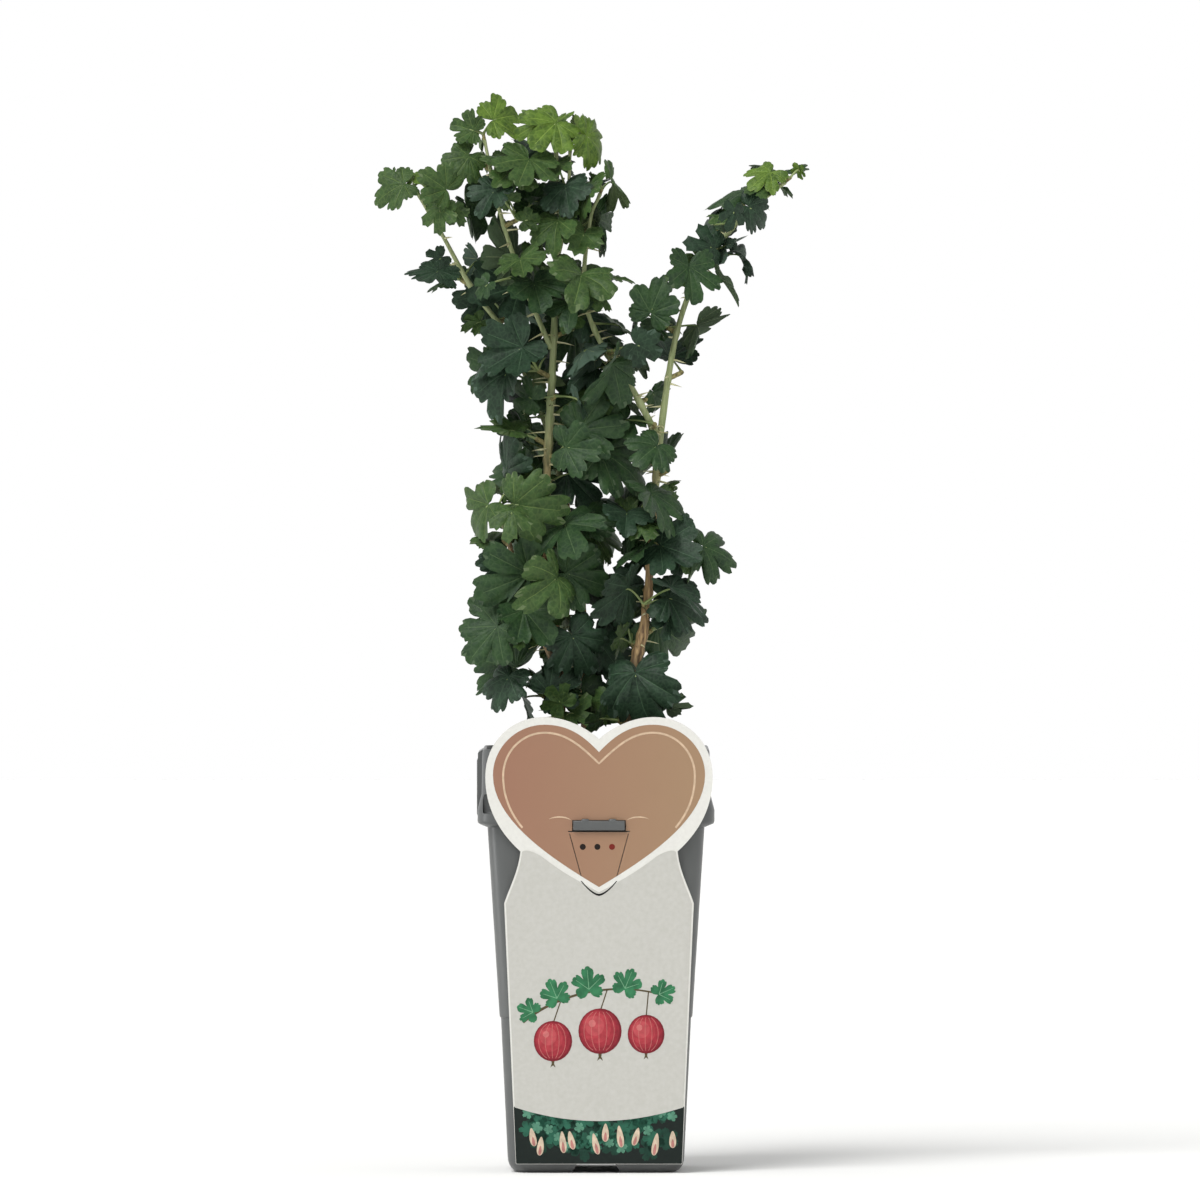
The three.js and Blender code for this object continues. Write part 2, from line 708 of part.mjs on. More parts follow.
// A spur and its leaves: each leaf draws a few places and takes the first that is clear.
function growTuft(limb, s, azimuth, row, rule, tufts, beads) {
  const { point: foot, tangent } = limb.at(s);
  const young = rule === YOUNG;
  const tip = foot.clone();
  if (young) {
    tip.addScaledVector(tangent, rule.spur[0]);
  } else {
    tip.addScaledVector(heading(azimuth, SPUR_RISE), limb.radius(s) + draw(rule.spur));
  }
  const tuft = { limb, foot, tip, young, spur: between(foot, tip, SPUR_SHARES), leaves: [] };
  const besideWood = beads.some((bead) => bead.limb !== limb.name
    && tuft.spur.some((p) => p.distanceTo(bead.point) - bead.radius < CLEAR.spur));
  const besideLeaf = tufts.some(({ leaves }) => leaves.some(({ blade, stalk }) => (
    nearer(tuft.spur, blade, CLEAR.stalk) || nearer(tuft.spur, stalk, CLEAR.stalk)
  )));
  if (besideWood || besideLeaf) {
    return;
  }
  for (let i = 0; i < row.leaves; i += 1) {
    const aim = azimuth + (i / Math.max(row.leaves - 1, 1) - 0.5) * rule.spread;
    for (let attempt = 0; attempt < TRIES; attempt += 1) {
      const leaf = makeLeaf(tip, aim, rule, row.size);
      if (isClear(leaf, tuft, [...tufts, tuft], beads)) {
        tuft.leaves.push(leaf);
        break;
      }
    }
  }
  if (tuft.leaves.length > 0) {
    tufts.push(tuft);
  }
}

function growCrown(limbs) {
  const beads = Object.values(limbs).flatMap((limb) => limb.beads);
  const tufts = [];
  for (const row of TIPS) {
    const limb = limbs[row.limb];
    growTuft(limb, limb.length, row.azimuth, row, YOUNG, tufts, beads);
  }
  for (const row of RUNS) {
    const limb = limbs[row.limb];
    const first = limb.atHeight(row.from);
    const last = limb.atHeight(row.to);
    for (let i = 0; i < row.tufts; i += 1) {
      const s = first + ((last - first) * i) / (row.tufts - 1);
      const azimuth = row.azimuth + i * TURN + draw([-TURN_STRAY, TURN_STRAY]);
      growTuft(limb, s, azimuth, row, GROWN, tufts, beads);
    }
  }
  return tufts;
}

// ---------------------------------------------------------------- solids of a tuft

// A blade is a thin lens: a sharp rim, and one high point above and one below its middle.
function bladeSolid(leaf) {
  const points = RIM.map((uv) => bladePoint(leaf, uv));
  const [above, below] = [points.length, points.length + 1];
  const faces = points.flatMap((_, i) => {
    const next = (i + 1) % above;
    return [[above, i, next], [below, next, i]];
  });
  const middle = bladePoint(leaf, [BLADE_MIDDLE, 0]);
  points.push(middle.clone().addScaledVector(leaf.face, BLADE_THICK / 2));
  points.push(middle.clone().addScaledVector(leaf.face, -BLADE_THICK / 2));
  return toSolid(shell(points, faces));
}

// A stalk runs on into its blade, as the foot of the midrib.
function stalkSolid({ root, knee, base, rib }) {
  const end = base.clone().addScaledVector(rib, STALK_RUN_IN);
  const radii = [STALK_RADIUS, STALK_RADIUS, STALK_RADIUS, STALK_RADIUS / 2];
  return rod([root, knee, base, end], radii, STALK_SIDES);
}

function tuftSolid(tuft, jacket) {
  const beyond = tuft.tip.clone().sub(tuft.foot).normalize().multiplyScalar(SPUR_RADIUS / 2).add(tuft.tip);
  const share = tuft.young ? GAP / tuft.tip.distanceTo(tuft.foot) : 0;
  const foot = tuft.foot.clone().lerp(tuft.tip, share);
  let solid = rod([foot, beyond], [SPUR_RADIUS, SPUR_RADIUS * SPUR_TAPER], SPUR_SIDES);
  if (!tuft.young) {
    solid = solid.subtract(jacket);
  }
  for (const leaf of tuft.leaves) {
    solid = solid.add(stalkSolid(leaf)).add(bladeSolid(leaf));
  }
  return largest(tuft.young ? solid : solid.subtract(jacket)).asOriginal().simplify(SMALLEST);
}

// ---------------------------------------------------------------- the scene graph

const materials = {
  pot: new THREE.MeshStandardMaterial({ color: 0x6d6f6e, roughness: 0.5, metalness: 0 }),
  soil: new THREE.MeshStandardMaterial({ color: 0x3a2c22, roughness: 0.95, metalness: 0 }),
  card: new THREE.MeshStandardMaterial({ color: 0xdbdbd3, roughness: 0.45, metalness: 0 }),
  bark: new THREE.MeshStandardMaterial({ color: 0x97825a, roughness: 0.75, metalness: 0 }),
  leaf: new THREE.MeshStandardMaterial({ color: 0x37502f, roughness: 0.5, metalness: 0 }),
  young: new THREE.MeshStandardMaterial({ color: 0x6f9040, roughness: 0.5, metalness: 0 }),
};

const bush = new THREE.Group();

function addMesh(name, solid, material) {
  const mesh = new THREE.Mesh(toGeometry(solid), material);
  mesh.name = name;
  bush.add(mesh);
  return mesh;
}

addMesh('pot', pot(), materials.pot);
addMesh('soil', soil(), materials.soil);

// The card leans on the collar's edge, so that its back clears it by the gap.
const label = addMesh('label_card', card(), materials.card);
const lean = THREE.MathUtils.degToRad(CARD.lean);
label.rotation.x = lean;
label.position.x = CARD.centreX;
label.position.y = -(POT.collarHalf + GAP + CARD.thick / 2) + POT.collarEdge * Math.sin(lean);

const limbs = Object.fromEntries(LIMBS.map((row) => [row.name, makeLimb(row)]));
const jackets = {};
for (const limb of Object.values(limbs)) {
  let solid = limbSolid(limb, 0, GAP);
  if (limb.parent) {
    solid = largest(solid.subtract(jackets[limb.parent]));
  }
  jackets[limb.name] = limbSolid(limb, JACKET, 0);
  addMesh(limb.name, solid, materials.bark);
}

growCrown(limbs).forEach((tuft, i) => {
  const kind = tuft.young ? 'tip' : 'leaves';
  const name = `${kind}_${tuft.limb.name.split('_')[1]}_${String(i + 1).padStart(2, '0')}`;
  const material = tuft.young ? materials.young : materials.leaf;
  addMesh(name, tuftSolid(tuft, jackets[tuft.limb.name]), material);
});

export default bush;
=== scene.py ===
"""The finish of a gooseberry bush in a tall square nursery pot: pot, soil, canes, leaves and card label.

Sizes are in millimetres until a mesh is made. +Z is up, and the card hangs on the pot's -Y side.
"""
import json
import math

import bpy
import numpy as np
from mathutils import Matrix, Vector

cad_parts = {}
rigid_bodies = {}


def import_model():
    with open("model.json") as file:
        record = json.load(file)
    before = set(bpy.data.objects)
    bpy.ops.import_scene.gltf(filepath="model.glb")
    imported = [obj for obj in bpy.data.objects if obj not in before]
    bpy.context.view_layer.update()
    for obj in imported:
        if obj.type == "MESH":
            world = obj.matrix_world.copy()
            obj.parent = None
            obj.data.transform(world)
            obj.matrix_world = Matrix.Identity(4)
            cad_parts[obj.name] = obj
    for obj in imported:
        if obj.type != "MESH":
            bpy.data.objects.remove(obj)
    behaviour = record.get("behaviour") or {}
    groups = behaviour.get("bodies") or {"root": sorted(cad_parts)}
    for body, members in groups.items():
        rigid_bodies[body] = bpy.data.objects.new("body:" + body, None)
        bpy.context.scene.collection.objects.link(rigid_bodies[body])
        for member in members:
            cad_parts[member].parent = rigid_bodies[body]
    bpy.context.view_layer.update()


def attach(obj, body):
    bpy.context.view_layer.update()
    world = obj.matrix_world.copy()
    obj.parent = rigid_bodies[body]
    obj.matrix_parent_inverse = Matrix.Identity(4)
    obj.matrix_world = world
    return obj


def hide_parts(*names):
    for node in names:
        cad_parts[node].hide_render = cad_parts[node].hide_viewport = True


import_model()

MM = 0.001

# ---------------------------------------------------------------- pot
# A tall square nursery pot, injection-moulded in thin grey polypropylene. It tapers to its foot, has a
# small step where stacked pots catch, and a collar that stiffens its mouth.

POT_WALL = 1.4
POT_CORNER = 9.0
POT_FLOOR = 6.6
FOOT_HEIGHT, FOOT_START, FOOT_END = 8.0, 38.4, 44.2  # the rounding at the foot, and its half widths
POT_SHARP = 50  # edges past this angle stay sharp
TURN = 2 * math.pi  # once round, in radians


def ring_pattern(arc_steps, side_steps):
    """Rounded square as two arrays: each point is a place on the inner square plus a turn of the corner.

    A corner turns a quarter circle in arc_steps, and a side runs straight to the next corner.
    """
    signs = np.array([(1, 1), (-1, 1), (-1, -1), (1, -1)], float)
    centres, turns = [], []
    for quarter in range(4):
        angle = math.pi / 2 * (quarter + np.arange(arc_steps + 1) / arc_steps)
        centres.append(np.repeat(signs[quarter][None], arc_steps + 1, 0))
        turns.append(np.stack([np.cos(angle), np.sin(angle)], 1))
        share = (np.arange(1, side_steps) / side_steps)[:, None]
        centres.append(signs[quarter] * (1 - share) + signs[(quarter + 1) % 4] * share)
        turns.append(np.repeat(turns[-1][-1:], side_steps - 1, 0))
    return np.concatenate(centres), np.concatenate(turns)


def tower(levels, arc_steps=8, side_steps=1):
    """Rings of a square tower from rows of height, half width and corner radius: one ring for each row."""
    z, half, corner = np.array(levels, float).T[:, :, None, None]
    centres, turns = ring_pattern(arc_steps, side_steps)
    flat = centres * (half - corner) + turns * corner
    return np.concatenate([flat, np.broadcast_to(z, flat[..., :1].shape)], -1)[None]


def skin(rings):
    """Points, quads and end fans of closed tubes, from rings[tube, row, column].

    Rows run along a tube, columns turn anticlockwise seen from its far end, and each end closes on its
    middle.
    """
    tubes, rows, columns = rings.shape[:3]
    ends = rings[:, [0, -1]].mean(axis=2)
    points = np.concatenate([rings.reshape(tubes, -1, 3), ends], axis=1)
    row, column = np.meshgrid(np.arange(rows - 1), np.arange(columns), indexing="ij")
    here = (row * columns + column).ravel()
    beside = (row * columns + (column + 1) % columns).ravel()
    quads = np.stack([here, beside, beside + columns, here + columns], 1)
    column = np.arange(columns)
    following = (column + 1) % columns
    middle = np.full(columns, rows * columns)
    last = (rows - 1) * columns
    fans = np.concatenate([np.stack([middle, following, column], 1),
                           np.stack([middle + 1, last + column, last + following], 1)])
    shift = (np.arange(tubes) * (rows * columns + 2))[:, None, None]
    return points.reshape(-1, 3), (quads + shift).reshape(-1, 4), (fans + shift).reshape(-1, 3)


def piece(name, shape, *stuffs, sharp=40.0):
    """Mesh object from points in millimetres and arrays of faces. Edges past the sharp angle stay sharp."""
    points, *kinds = shape
    faces = [face for kind in kinds for face in kind.tolist()]
    mesh = bpy.data.meshes.new(name)
    mesh.from_pydata((np.asarray(points) * MM).tolist(), [], faces)
    for stuff in stuffs:
        mesh.materials.append(stuff)
    mesh.shade_smooth()
    mesh.set_sharp_from_angle(angle=math.radians(sharp))
    made = bpy.data.objects.new(name, mesh)
    bpy.context.scene.collection.objects.link(made)
    return made


def together(*shapes):
    """Several shapes as one: their points in a row, and their faces' numbers moved along."""
    first = np.cumsum([0] + [len(shape[0]) for shape in shapes[:-1]])
    faces = [kind + at for shape, at in zip(shapes, first) for kind in shape[1:]]
    return (np.concatenate([shape[0] for shape in shapes]), *faces)


def cut(target, *cutters, sharp):
    """Takes the cutters' shapes out of the target and removes them. Edges past the sharp angle stay sharp."""
    for cutter in cutters:
        step = target.modifiers.new("cut", "BOOLEAN")
        step.object = cutter
        step.solver = "EXACT"
    bpy.context.view_layer.update()
    seen = target.evaluated_get(bpy.context.evaluated_depsgraph_get())
    carved = bpy.data.meshes.new_from_object(seen)
    target.modifiers.clear()
    target.data = carved
    for cutter in cutters:
        bpy.data.objects.remove(cutter)
    carved.set_sharp_from_angle(angle=math.radians(sharp))


def prism(outline, start, end, along):
    """Straight prism: an outline of (across, height) carried from start to end along X or Y."""
    across, up = np.array(outline, float).T
    rows = []
    for at in (start, end):
        level = np.full_like(across, at)
        rows.append(np.stack([level, across, up] if along == "x" else [across, level, up], 1))
    rings = np.stack(rows)[None]
    turn = np.roll(across, -1) * up - across * np.roll(up, -1)
    inward = (turn.sum() > 0) == (along == "x")
    return skin(rings[:, :, ::-1] if inward else rings)


def block(low, high, radius, steps=3):
    """Box with rounded edges: each point of a small sphere moves out to the box's nearest inner corner."""
    low, high = np.array(low, float), np.array(high, float)
    share = np.arange(steps + 1) / steps
    quarter = np.repeat(np.arange(4), steps + 1)
    turn = math.pi / 2 * (quarter + np.tile(share, 4))
    rise = math.pi / 2 * np.concatenate([share - 1, share])
    side = np.array([(1, 1), (-1, 1), (-1, -1), (1, -1)], float)[quarter]
    upper = np.repeat([-1.0, 1.0], steps + 1)
    flat, up = np.cos(rise)[:, None], np.sin(rise)[:, None]
    normal = np.stack(np.broadcast_arrays(flat * np.cos(turn), flat * np.sin(turn), up), -1)
    corner = np.stack(np.broadcast_arrays(side[:, 0], side[:, 1], upper[:, None]), -1)
    return skin(((low + high) / 2 + corner * ((high - low) / 2 - radius) + normal * radius)[None])


def linear(colour):
    """A colour written as sRGB hex, such as "6d6f6e", as linear RGBA."""
    share = np.array([int(colour[i:i + 2], 16) for i in (0, 2, 4)]) / 255
    low, high = share / 12.92, ((share + 0.055) / 1.055) ** 2.4
    return (*np.where(share <= 0.04045, low, high).tolist(), 1.0)


def put(tree, kind, links=(), **settings):
    """Adds a node of that kind. Each link gives an input a value, or the socket that feeds it."""
    made = tree.nodes.new("ShaderNode" + kind)
    for key, value in settings.items():
        setattr(made, key, value)
    for key, value in dict(links).items():
        if isinstance(value, bpy.types.NodeSocket):
            tree.links.new(value, made.inputs[key])
        else:
            made.inputs[key].default_value = value
    return made


def finish(name, colour, roughness, **inputs):
    """A material named for the real one, its tree, and its one shader set to plain values."""
    stuff = bpy.data.materials.new(name)
    stuff.use_nodes = True
    shader = stuff.node_tree.nodes["Principled BSDF"]
    shader.inputs["Base Color"].default_value = linear(colour)
    shader.inputs["Roughness"].default_value = roughness
    for key, value in inputs.items():
        shader.inputs[key.replace("_", " ")].default_value = value
    return stuff, stuff.node_tree, shader


def grain(tree, spot, stretch=(1, 1, 1), detail=2.0):
    """Noise on Object coordinates between 0 and 1, with spots of about that many millimetres."""
    place = put(tree, "TexCoord").outputs["Object"]
    scaled = put(tree, "Mapping", {"Vector": place, "Scale": stretch}).outputs["Vector"]
    noise = put(tree, "TexNoise", {"Vector": scaled, "Scale": 1 / (spot * MM), "Detail": detail})
    return noise.outputs["Fac"]


def blend(tree, factor, one, other, low=0.0, high=1.0):
    """Colour that goes from one to other as the factor goes from low to high."""
    share = put(tree, "MapRange", {"Value": factor, "From Min": low, "From Max": high}).outputs["Result"]
    return put(tree, "Mix", {0: share, 6: one, 7: other}, data_type="RGBA").outputs[2]


def paint(tree, shader, factor, one, other, low=0.35, high=0.65):
    """The base colour is a blend of two colours, led by the factor."""
    mixed = blend(tree, factor, one, other, low, high)
    tree.links.new(mixed, shader.inputs["Base Color"])
    return mixed


def emboss(tree, shader, height, depth, strength=1.0):
    """Bump from a height between 0 and 1 that stands for that many millimetres."""
    bump = put(tree, "Bump", {"Height": height, "Distance": depth * MM, "Strength": strength})
    tree.links.new(bump.outputs["Normal"], shader.inputs["Normal"])


# Moulded polypropylene: a satin grey that shows soft light along its corners. Broad dusty patches and an
# uneven gloss break up its plain sides, and the tool's fine grain takes the edge off its shine.
polypropylene, tree, shader = finish("moulded_polypropylene", "535454", 0.36, IOR=1.49)
paint(tree, shader, grain(tree, 26.0, (1, 1, 0.35), 4.0), linear("4b4d4d"), linear("5b5d5c"), 0.3, 0.75)
gloss = put(tree, "MapRange", {"Value": grain(tree, 9.0), "To Min": 0.3, "To Max": 0.44}).outputs["Result"]
tree.links.new(gloss, shader.inputs["Roughness"])
emboss(tree, shader, grain(tree, 0.9, detail=1.0), 0.05, 0.5)

# The profile from the foot up, over the rim and down inside: height, half width and corner radius.
foot = [(FOOT_HEIGHT * (1 - math.cos(a)), FOOT_START + (FOOT_END - FOOT_START) * math.sin(a), POT_CORNER)
        for a in np.linspace(0, math.pi / 2, 7)]
stacking_step = [(77.2, 47.55, POT_CORNER), (77.8, 47.75, POT_CORNER), (78.1, 48.15, POT_CORNER),
                 (78.8, 48.25, POT_CORNER)]
collar_flare = [(173.0, 54.2, POT_CORNER), (173.1, 54.7, POT_CORNER), (174.8, 58.6, 12), (175.4, 59.0, 12)]
collar_band = [(176.2, 59.2, 12), (181.6, 59.2, 12), (182.3, 59.05, 12)]
collar_slope = [(188.8, 57.35, 11), (189.6, 57.15, 10.5)]
rim = [(210.4, 56.75, POT_CORNER), (211.5, 56.5, POT_CORNER), (212.0, 56.0, POT_CORNER), (212.0, 55.5, 8.5),
       (211.5, 55.15, 8)]
inside = [(173.0, 54.2 - POT_WALL, 8), (78.0, 48.2 - POT_WALL, 8), (12.0, 44.4 - POT_WALL, 8), (8.2, 42.2, 8),
          (POT_FLOOR, 40.0, 8), (POT_FLOOR, 20.0, 4)]
pot_levels = foot + stacking_step + collar_flare + collar_band + collar_slope + rim + inside
pot = piece("pot_shell", skin(tower(pot_levels)), polypropylene, sharp=POT_SHARP)

# Drainage: two channels cross under the floor and leave four feet, and five holes go through the floor. A
# slot lies in the collar's front beside the lug.
CHANNEL = [(-13.5, -2), (13.5, -2), (9.5, 4.6), (-9.5, 4.6)]
CHANNEL_REACH = 70  # past the pot's sides
HOLE_RADIUS, HOLE_AT = 4.5, 27.0
HOLE_FROM, HOLE_TO = 2.0, 9.0  # heights that clear the floor
SLOT_LOW, SLOT_HIGH = (-56.5, -64.0, 180.0), (-52.0, -51.4, 189.5)
hole_turn = np.linspace(0, TURN, 24, endpoint=False)
hole_round = np.stack([np.cos(hole_turn), np.sin(hole_turn)], 1) * HOLE_RADIUS
hole_centres = np.array([(0, 0), (1, 0), (-1, 0), (0, 1), (0, -1)]) * HOLE_AT
hole_rings = np.stack([np.concatenate([hole_round + at, np.full((24, 1), z)], 1)
                       for at in hole_centres for z in (HOLE_FROM, HOLE_TO)]).reshape(5, 2, 24, 3)
cut(pot,
    piece("channel_across", prism(CHANNEL, -CHANNEL_REACH, CHANNEL_REACH, "x"), polypropylene),
    piece("channel_along", prism(CHANNEL, -CHANNEL_REACH, CHANNEL_REACH, "y"), polypropylene),
    piece("drain_holes", skin(hole_rings), polypropylene),
    piece("collar_slot", block(SLOT_LOW, SLOT_HIGH, 0.8), polypropylene), sharp=POT_SHARP)
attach(pot, "root")
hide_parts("pot")

# The lug on the collar's left is moulded with it: its top slants up to the rim, and it has two low ribs.
LUG_PROFILE = [(-55.6, 176.4), (-59.2, 176.4), (-59.2, 209.3), (-58.95, 209.9), (-55.6, 212.0)]
LUG_HALF = 23
RIB_AT, RIB_HALF = 21.5, 1.2
RIB_OUT, RIB_IN, RIB_LOW, RIB_HIGH = -59.7, -58.4, 178.5, 206.5
lug_shapes = [prism(LUG_PROFILE, -LUG_HALF, LUG_HALF, "y")]
for at in (-RIB_AT, RIB_AT):
    low, high = (RIB_OUT, at - RIB_HALF, RIB_LOW), (RIB_IN, at + RIB_HALF, RIB_HIGH)
    lug_shapes.append(block(low, high, 0.5, steps=2))
lug = piece("pot_lug", together(*lug_shapes), polypropylene)
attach(lug, "root")

# The hook in front of the collar is moulded with the pot. The card's window hangs on it, and its two bumps
# keep the card from slipping off.
HOOK_MIDDLE, HOOK_HALF = 1.5, 12.9
HOOK_FRONT, HOOK_BACK, HOOK_LOW, HOOK_HIGH = -62.5, -58.0, 171.7, 176.6
BUMP_AT, BUMP_HALF = 6.8, 2.0
BUMP_PROUD, BUMP_DEEP = 0.05, 1.7  # before the hook's front, and behind it
BUMP_DROP, BUMP_RISE = 1.6, 0.9  # below the hook's top, and above it
hook_shapes = [block((HOOK_MIDDLE - HOOK_HALF, HOOK_FRONT, HOOK_LOW),
                     (HOOK_MIDDLE + HOOK_HALF, HOOK_BACK, HOOK_HIGH), 0.5)]
for at in (HOOK_MIDDLE - BUMP_AT, HOOK_MIDDLE + BUMP_AT):
    hook_shapes.append(block((at - BUMP_HALF, HOOK_FRONT - BUMP_PROUD, HOOK_HIGH - BUMP_DROP),
                             (at + BUMP_HALF, HOOK_FRONT + BUMP_DEEP, HOOK_HIGH + BUMP_RISE), 0.8))
hook = piece("pot_hook", together(*hook_shapes), polypropylene)
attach(hook, "root")

# ---------------------------------------------------------------- soil
# Potting soil of dark peat with crumbs of bark. It is filled in loose to 22 mm below the rim, and settles
# into lumps at its top.

SOIL_TOP = 190.0
SOIL_HALF, SOIL_CORNER = 53.3, 7
TOP_RINGS, SMALLEST_RING = 42, 0.02  # rings from wall to middle, and the last one's share of the width
LUMPS = [(22.0, 24, 1, 0.9), (6.0, 40, 2, 0.7), (2.2, 50, 3, 0.35)]  # length, waves, seed, height
SETTLED = 0.4  # by which the lumps lie lower than the filled level


def waves(points, length, count, seed):
    """Soft random field between about -1 and 1: a sum of plane waves near that length, seeded."""
    dice = np.random.default_rng(seed)
    way = dice.normal(size=(count, 3))
    way /= np.linalg.norm(way, axis=1, keepdims=True)
    number = TURN / (length * dice.uniform(0.7, 1.5, count))
    phase = dice.uniform(0, TURN, count)
    return np.sin(points @ (way * number[:, None]).T + phase).sum(-1) * math.sqrt(2 / count)


def rough(points, fields, shift=0):
    """Several such fields added up: rows of length, waves, seed and height. The shift moves the seeds."""
    return sum(waves(points, length, count, seed + shift) * height for length, count, seed, height in fields)


# Moist peat: a dull brown close to black, whose fine fibres and crumbs give it a rough, broken surface.
peat, tree, shader = finish("moist_peat", "33271e", 0.95)
paint(tree, shader, grain(tree, 2.6, detail=4.0), linear("241a13"), linear("4a392b"))
emboss(tree, shader, grain(tree, 0.8, detail=4.0), 0.5)

wall_levels = [(z, half, SOIL_CORNER) for z, half in (
    (POT_FLOOR + 0.3, 40.5), (12, 42.6), (78, 46.4), (173, 52.4), (SOIL_TOP - 1, SOIL_HALF))]
top_levels = [(SOIL_TOP, SOIL_HALF * share, SOIL_CORNER * share)
              for share in np.linspace(1, SMALLEST_RING, TOP_RINGS)]
soil_rings = tower(wall_levels + top_levels, arc_steps=4, side_steps=14)
soil_top = slice(len(wall_levels), None)
soil_rings[0, soil_top, :, 2] += rough(soil_rings, LUMPS)[0, soil_top] - SETTLED
soil = piece("soil_bed", skin(soil_rings), peat, sharp=70)
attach(soil, "root")
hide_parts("soil")

# Crumbs and slivers of bark lie on top, turned at random and partly sunk in the peat.
CRUMBS, CRUMB_SIDES = 900, 5
CRUMB_ROWS = np.array([(-0.7, 0.6), (0.0, 1.0), (0.6, 0.55)])  # height and width
CRUMB_STRETCH = (1.5, 0.8, 0.5)  # longer than wide, and flat
CRUMB_MARGIN, CRUMB_LIFT = 3, 0.4  # from the soil's edge, and above its level

# Composted bark: matt chips from dark to tan, so that single crumbs stand out on the darker peat.
chip, tree, shader = finish("composted_bark", "5a4330", 0.9)
paint(tree, shader, grain(tree, 7.0), linear("3b2b20"), linear("6b5239"))
dice = np.random.default_rng(11)
crumb_turn = np.linspace(0, TURN, CRUMB_SIDES, endpoint=False)
height, width = CRUMB_ROWS.T[:, :, None]
crumb = np.stack(np.broadcast_arrays(width * np.cos(crumb_turn), width * np.sin(crumb_turn), height), -1)
crumb_size = dice.uniform(0.5, 1.0, (CRUMBS, 1, 1, 3)) * dice.uniform(0.8, 2.4, (CRUMBS, 1, 1, 1))
ragged = dice.uniform(0.75, 1.25, (CRUMBS, len(CRUMB_ROWS), CRUMB_SIDES, 1))
along, across, up = np.moveaxis(crumb * (crumb_size * CRUMB_STRETCH) * ragged, -1, 0)
angle = dice.uniform(0, TURN, CRUMBS)[:, None, None]
crumb_rings = np.stack([along * np.cos(angle) - across * np.sin(angle),
                        along * np.sin(angle) + across * np.cos(angle), up], -1)
crumb_rings[..., :2] += (dice.uniform(-1, 1, (CRUMBS, 2)) * (SOIL_HALF - CRUMB_MARGIN))[:, None, None]
crumb_rings[..., 2] += SOIL_TOP + CRUMB_LIFT
crumbs = piece("soil_crumbs", skin(crumb_rings), chip, sharp=30)
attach(crumbs, "root")

# ---------------------------------------------------------------- canes and boughs
# Three canes rise from the soil and boughs leave them. Old wood is brown and striped lengthwise; new wood
# above is smooth and yellow-green, and swells a little at each bud.

# Each limb's thickness at its foot and its tip, the cane that it leaves, and the waypoints of its middle.
LIMBS = {
    "stem_main": (6, 2.2, None, [
        (-17, 3, SOIL_TOP), (-19, 2, 240), (-20, 0, 266), (-25.5, -1, 300), (-24.6, -1, 350), (-21.5, 0, 410),
        (-20, 2, 465), (-20, 1, 518)]),
    "stem_right": (5.6, 1.8, None, [
        (15, -2, SOIL_TOP), (17, -3, 240), (25, -4, 278), (28.5, -2, 326), (33, 0, 374), (41, 1, 422),
        (53, 0, 452), (74, -2, 479), (95, -4, 496)]),
    "stem_back": (5, 1.8, None, [
        (-5, 15, SOIL_TOP), (-7, 17, 280), (-21, 16, 360), (-43, 11, 415), (-62, 6, 442), (-77, 2, 469),
        (-90, -1, 491)]),
    "bough_low": (3.4, 1.8, "stem_main", [
        (-20.5, -1, 253), (-28, -6, 270), (-38, -12, 296), (-48, -16, 330)]),
    "bough_left": (3, 1.6, "stem_main", [(-21.5, 0, 410), (-36, -5, 444), (-48, -6, 480), (-56, -5, 517)]),
    "bough_middle": (3.4, 1.8, "stem_right", [
        (32, 0, 366), (17, -7, 394), (3, -9, 414), (-6, -8, 440), (-3, -4, 476), (2, -2, 490)]),
    "bough_top": (2.4, 1.6, "stem_main", [(-20, 2, 455), (-14.5, -5, 480), (-13, -5, 512)]),
}
SPAN_STEPS = 6
BEAD = 3.0  # spacing of the points that stand for the wood when leaves keep clear of it


def unit(v):
    """The same direction, one long."""
    return v / np.sqrt((v * v).sum(-1, keepdims=True))


def spline(path, steps):
    """Smooth line through the waypoints: cubic spans that pass each waypoint along its neighbours' chord."""
    p = np.array(path, float)
    ends = np.vstack([2 * p[0] - p[1], p, 2 * p[-1] - p[-2]])
    at = np.arange((len(p) - 1) * steps + 1)
    k = np.minimum(at // steps, len(p) - 2)
    t = (at / steps - k)[:, None]
    a, b, c, d = ends[k], ends[k + 1], ends[k + 2], ends[k + 3]
    square, cube = 2 * a - 5 * b + 4 * c - d, 3 * b - a - 3 * c + d
    return 0.5 * (2 * b + (c - a) * t + square * t ** 2 + cube * t ** 3)


def length_along(line):
    """The length of the line up to each of its points."""
    return np.concatenate([[0], np.cumsum(np.sqrt((np.diff(line, axis=0) ** 2).sum(1)))])


class Limb:
    """A cane or bough: its middle line, the length along it, and its taper."""

    def __init__(self, name, thick, thin, parent, path):
        self.name, self.thick, self.thin, self.parent, self.path = name, thick, thin, parent, path
        self.line = spline(path, SPAN_STEPS)
        self.along = length_along(self.line)
        self.length = float(self.along[-1])
        count = math.ceil(self.length / BEAD)
        places = np.arange(count + 1) * self.length / count
        self.beads = np.array([[*self.at(s)[0], self.radius(s)] for s in places])
        self.buds = []

    def radius(self, s):
        """Half the thickness at a length along the limb. It falls evenly from foot to tip."""
        return (self.thick + (self.thin - self.thick) * s / self.length) / 2

    def at(self, s):
        """The middle line's point and direction at a length along it."""
        k = min(max(int(np.searchsorted(self.along, s, "left")) - 1, 0), len(self.along) - 2)
        share = (s - self.along[k]) / (self.along[k + 1] - self.along[k])
        a, b = self.line[k], self.line[k + 1]
        return a + (b - a) * share, unit(b - a)

    def at_height(self, z):
        """The length along the limb at which its middle line first comes to that height."""
        k = 0
        while k < len(self.line) - 2 and self.line[k + 1][2] < z:
            k += 1
        share = (z - self.line[k][2]) / (self.line[k + 1][2] - self.line[k][2])
        return self.along[k] + share * (self.along[k + 1] - self.along[k])


